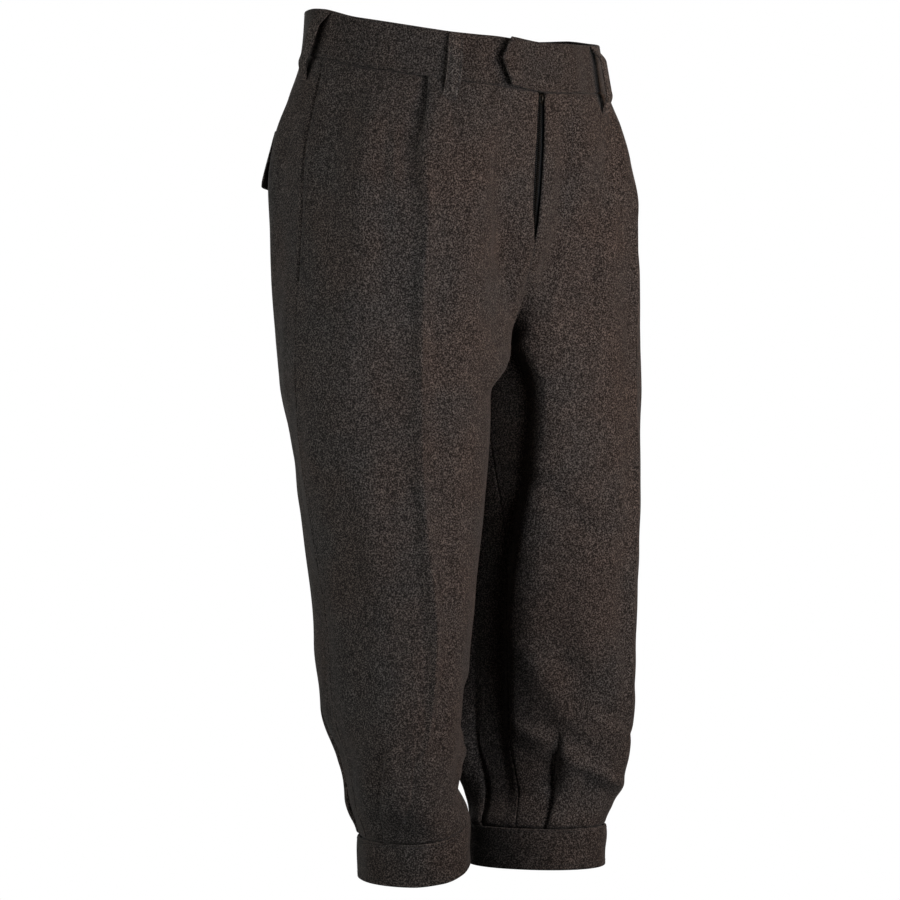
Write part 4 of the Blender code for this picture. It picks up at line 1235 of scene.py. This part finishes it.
for finish, items in FINISHES:
    for item in items:
        item.data.materials.append(finish)

# ---- stage, light and camera ----
FILL = 0.034
scene = bpy.context.scene
scene.view_settings.view_transform = "Standard"
scene.view_settings.look = "None"

world = bpy.data.worlds.new("studio")
world.use_nodes = True
feed(world.node_tree, world.node_tree.nodes["Background"], {"Color": (0.90, 0.96, 1.0), "Strength": FILL})
scene.world = world


def white_stage(name, verts, faces):
    """Evenly lit white surface that casts no light of its own on the cloth."""
    mesh = bpy.data.meshes.new(name)
    mesh.from_pydata(verts, [], faces)
    item = bpy.data.objects.new(name, mesh)
    scene.collection.objects.link(item)
    mat, tree_, shader = new_material(name + "_white")
    feed(tree_, shader, {"Base Color": (0.0, 0.0, 0.0), "Specular IOR Level": 0.0,
                         "Emission Color": (1.0, 1.0, 1.0), "Emission Strength": 1.0})
    mesh.materials.append(mat)
    item.visible_diffuse = item.visible_glossy = item.visible_transmission = item.visible_shadow = False


FLOOR_Z, FAR = -1.10, 12.0
corners = [(x * FAR, y * FAR, z) for z in (FLOOR_Z, FAR) for x, y in SQUARE]
white_stage("floor", corners[:4], [(0, 1, 2, 3)])
white_stage("backdrop", corners, [(1, 0, 4, 5), (2, 1, 5, 6), (3, 2, 6, 7), (0, 3, 7, 4), (4, 7, 6, 5)])

LOOK = Vector((0.0, -0.01, -0.38))
RIGHT = Vector((0.7431, -0.6691, 0.0))
TO_CAMERA = Vector((-0.6691, -0.7431, 0.0))


def area_light(name, right, near, up, size, power, colour=(1.0, 1.0, 1.0)):
    lamp = bpy.data.lights.new(name, "AREA")
    lamp.shape = "RECTANGLE"
    lamp.size, lamp.size_y = size
    lamp.energy = power
    lamp.color = colour
    item = bpy.data.objects.new(name, lamp)
    item.location = LOOK + RIGHT * right + TO_CAMERA * near + Vector((0, 0, up))
    item.rotation_euler = (LOOK - item.location).to_track_quat("-Z", "Y").to_euler()
    item.visible_camera = False
    scene.collection.objects.link(item)


area_light("key", 0.75, 0.75, 0.14, (0.60, 0.60), 7.9, (0.95, 0.99, 1.06))
area_light("warm_side", 1.00, 0.36, 0.42, (0.70, 0.70), 5.0, (1.0, 0.64, 0.42))
area_light("cool_side", -0.95, 0.80, 0.15, (1.20, 1.20), 8.9, (0.95, 1.0, 1.02))
area_light("behind_left", 0.40, -1.15, 0.40, (0.80, 0.80), 5.0)
area_light("behind_right", -0.35, -1.15, 0.40, (0.80, 0.80), 5.0)

camera = bpy.data.cameras.new("camera")
camera.sensor_width = 36.0
camera.lens = 125.0
camera.shift_x, camera.shift_y = -0.0158, -0.0043
camera.clip_start, camera.clip_end = 0.1, 100.0
eye = bpy.data.objects.new("camera", camera)
eye.location = (-1.9405, -2.1651, -0.380)
eye.rotation_euler = (LOOK - eye.location).to_track_quat("-Z", "Y").to_euler()
scene.collection.objects.link(eye)
scene.camera = eye
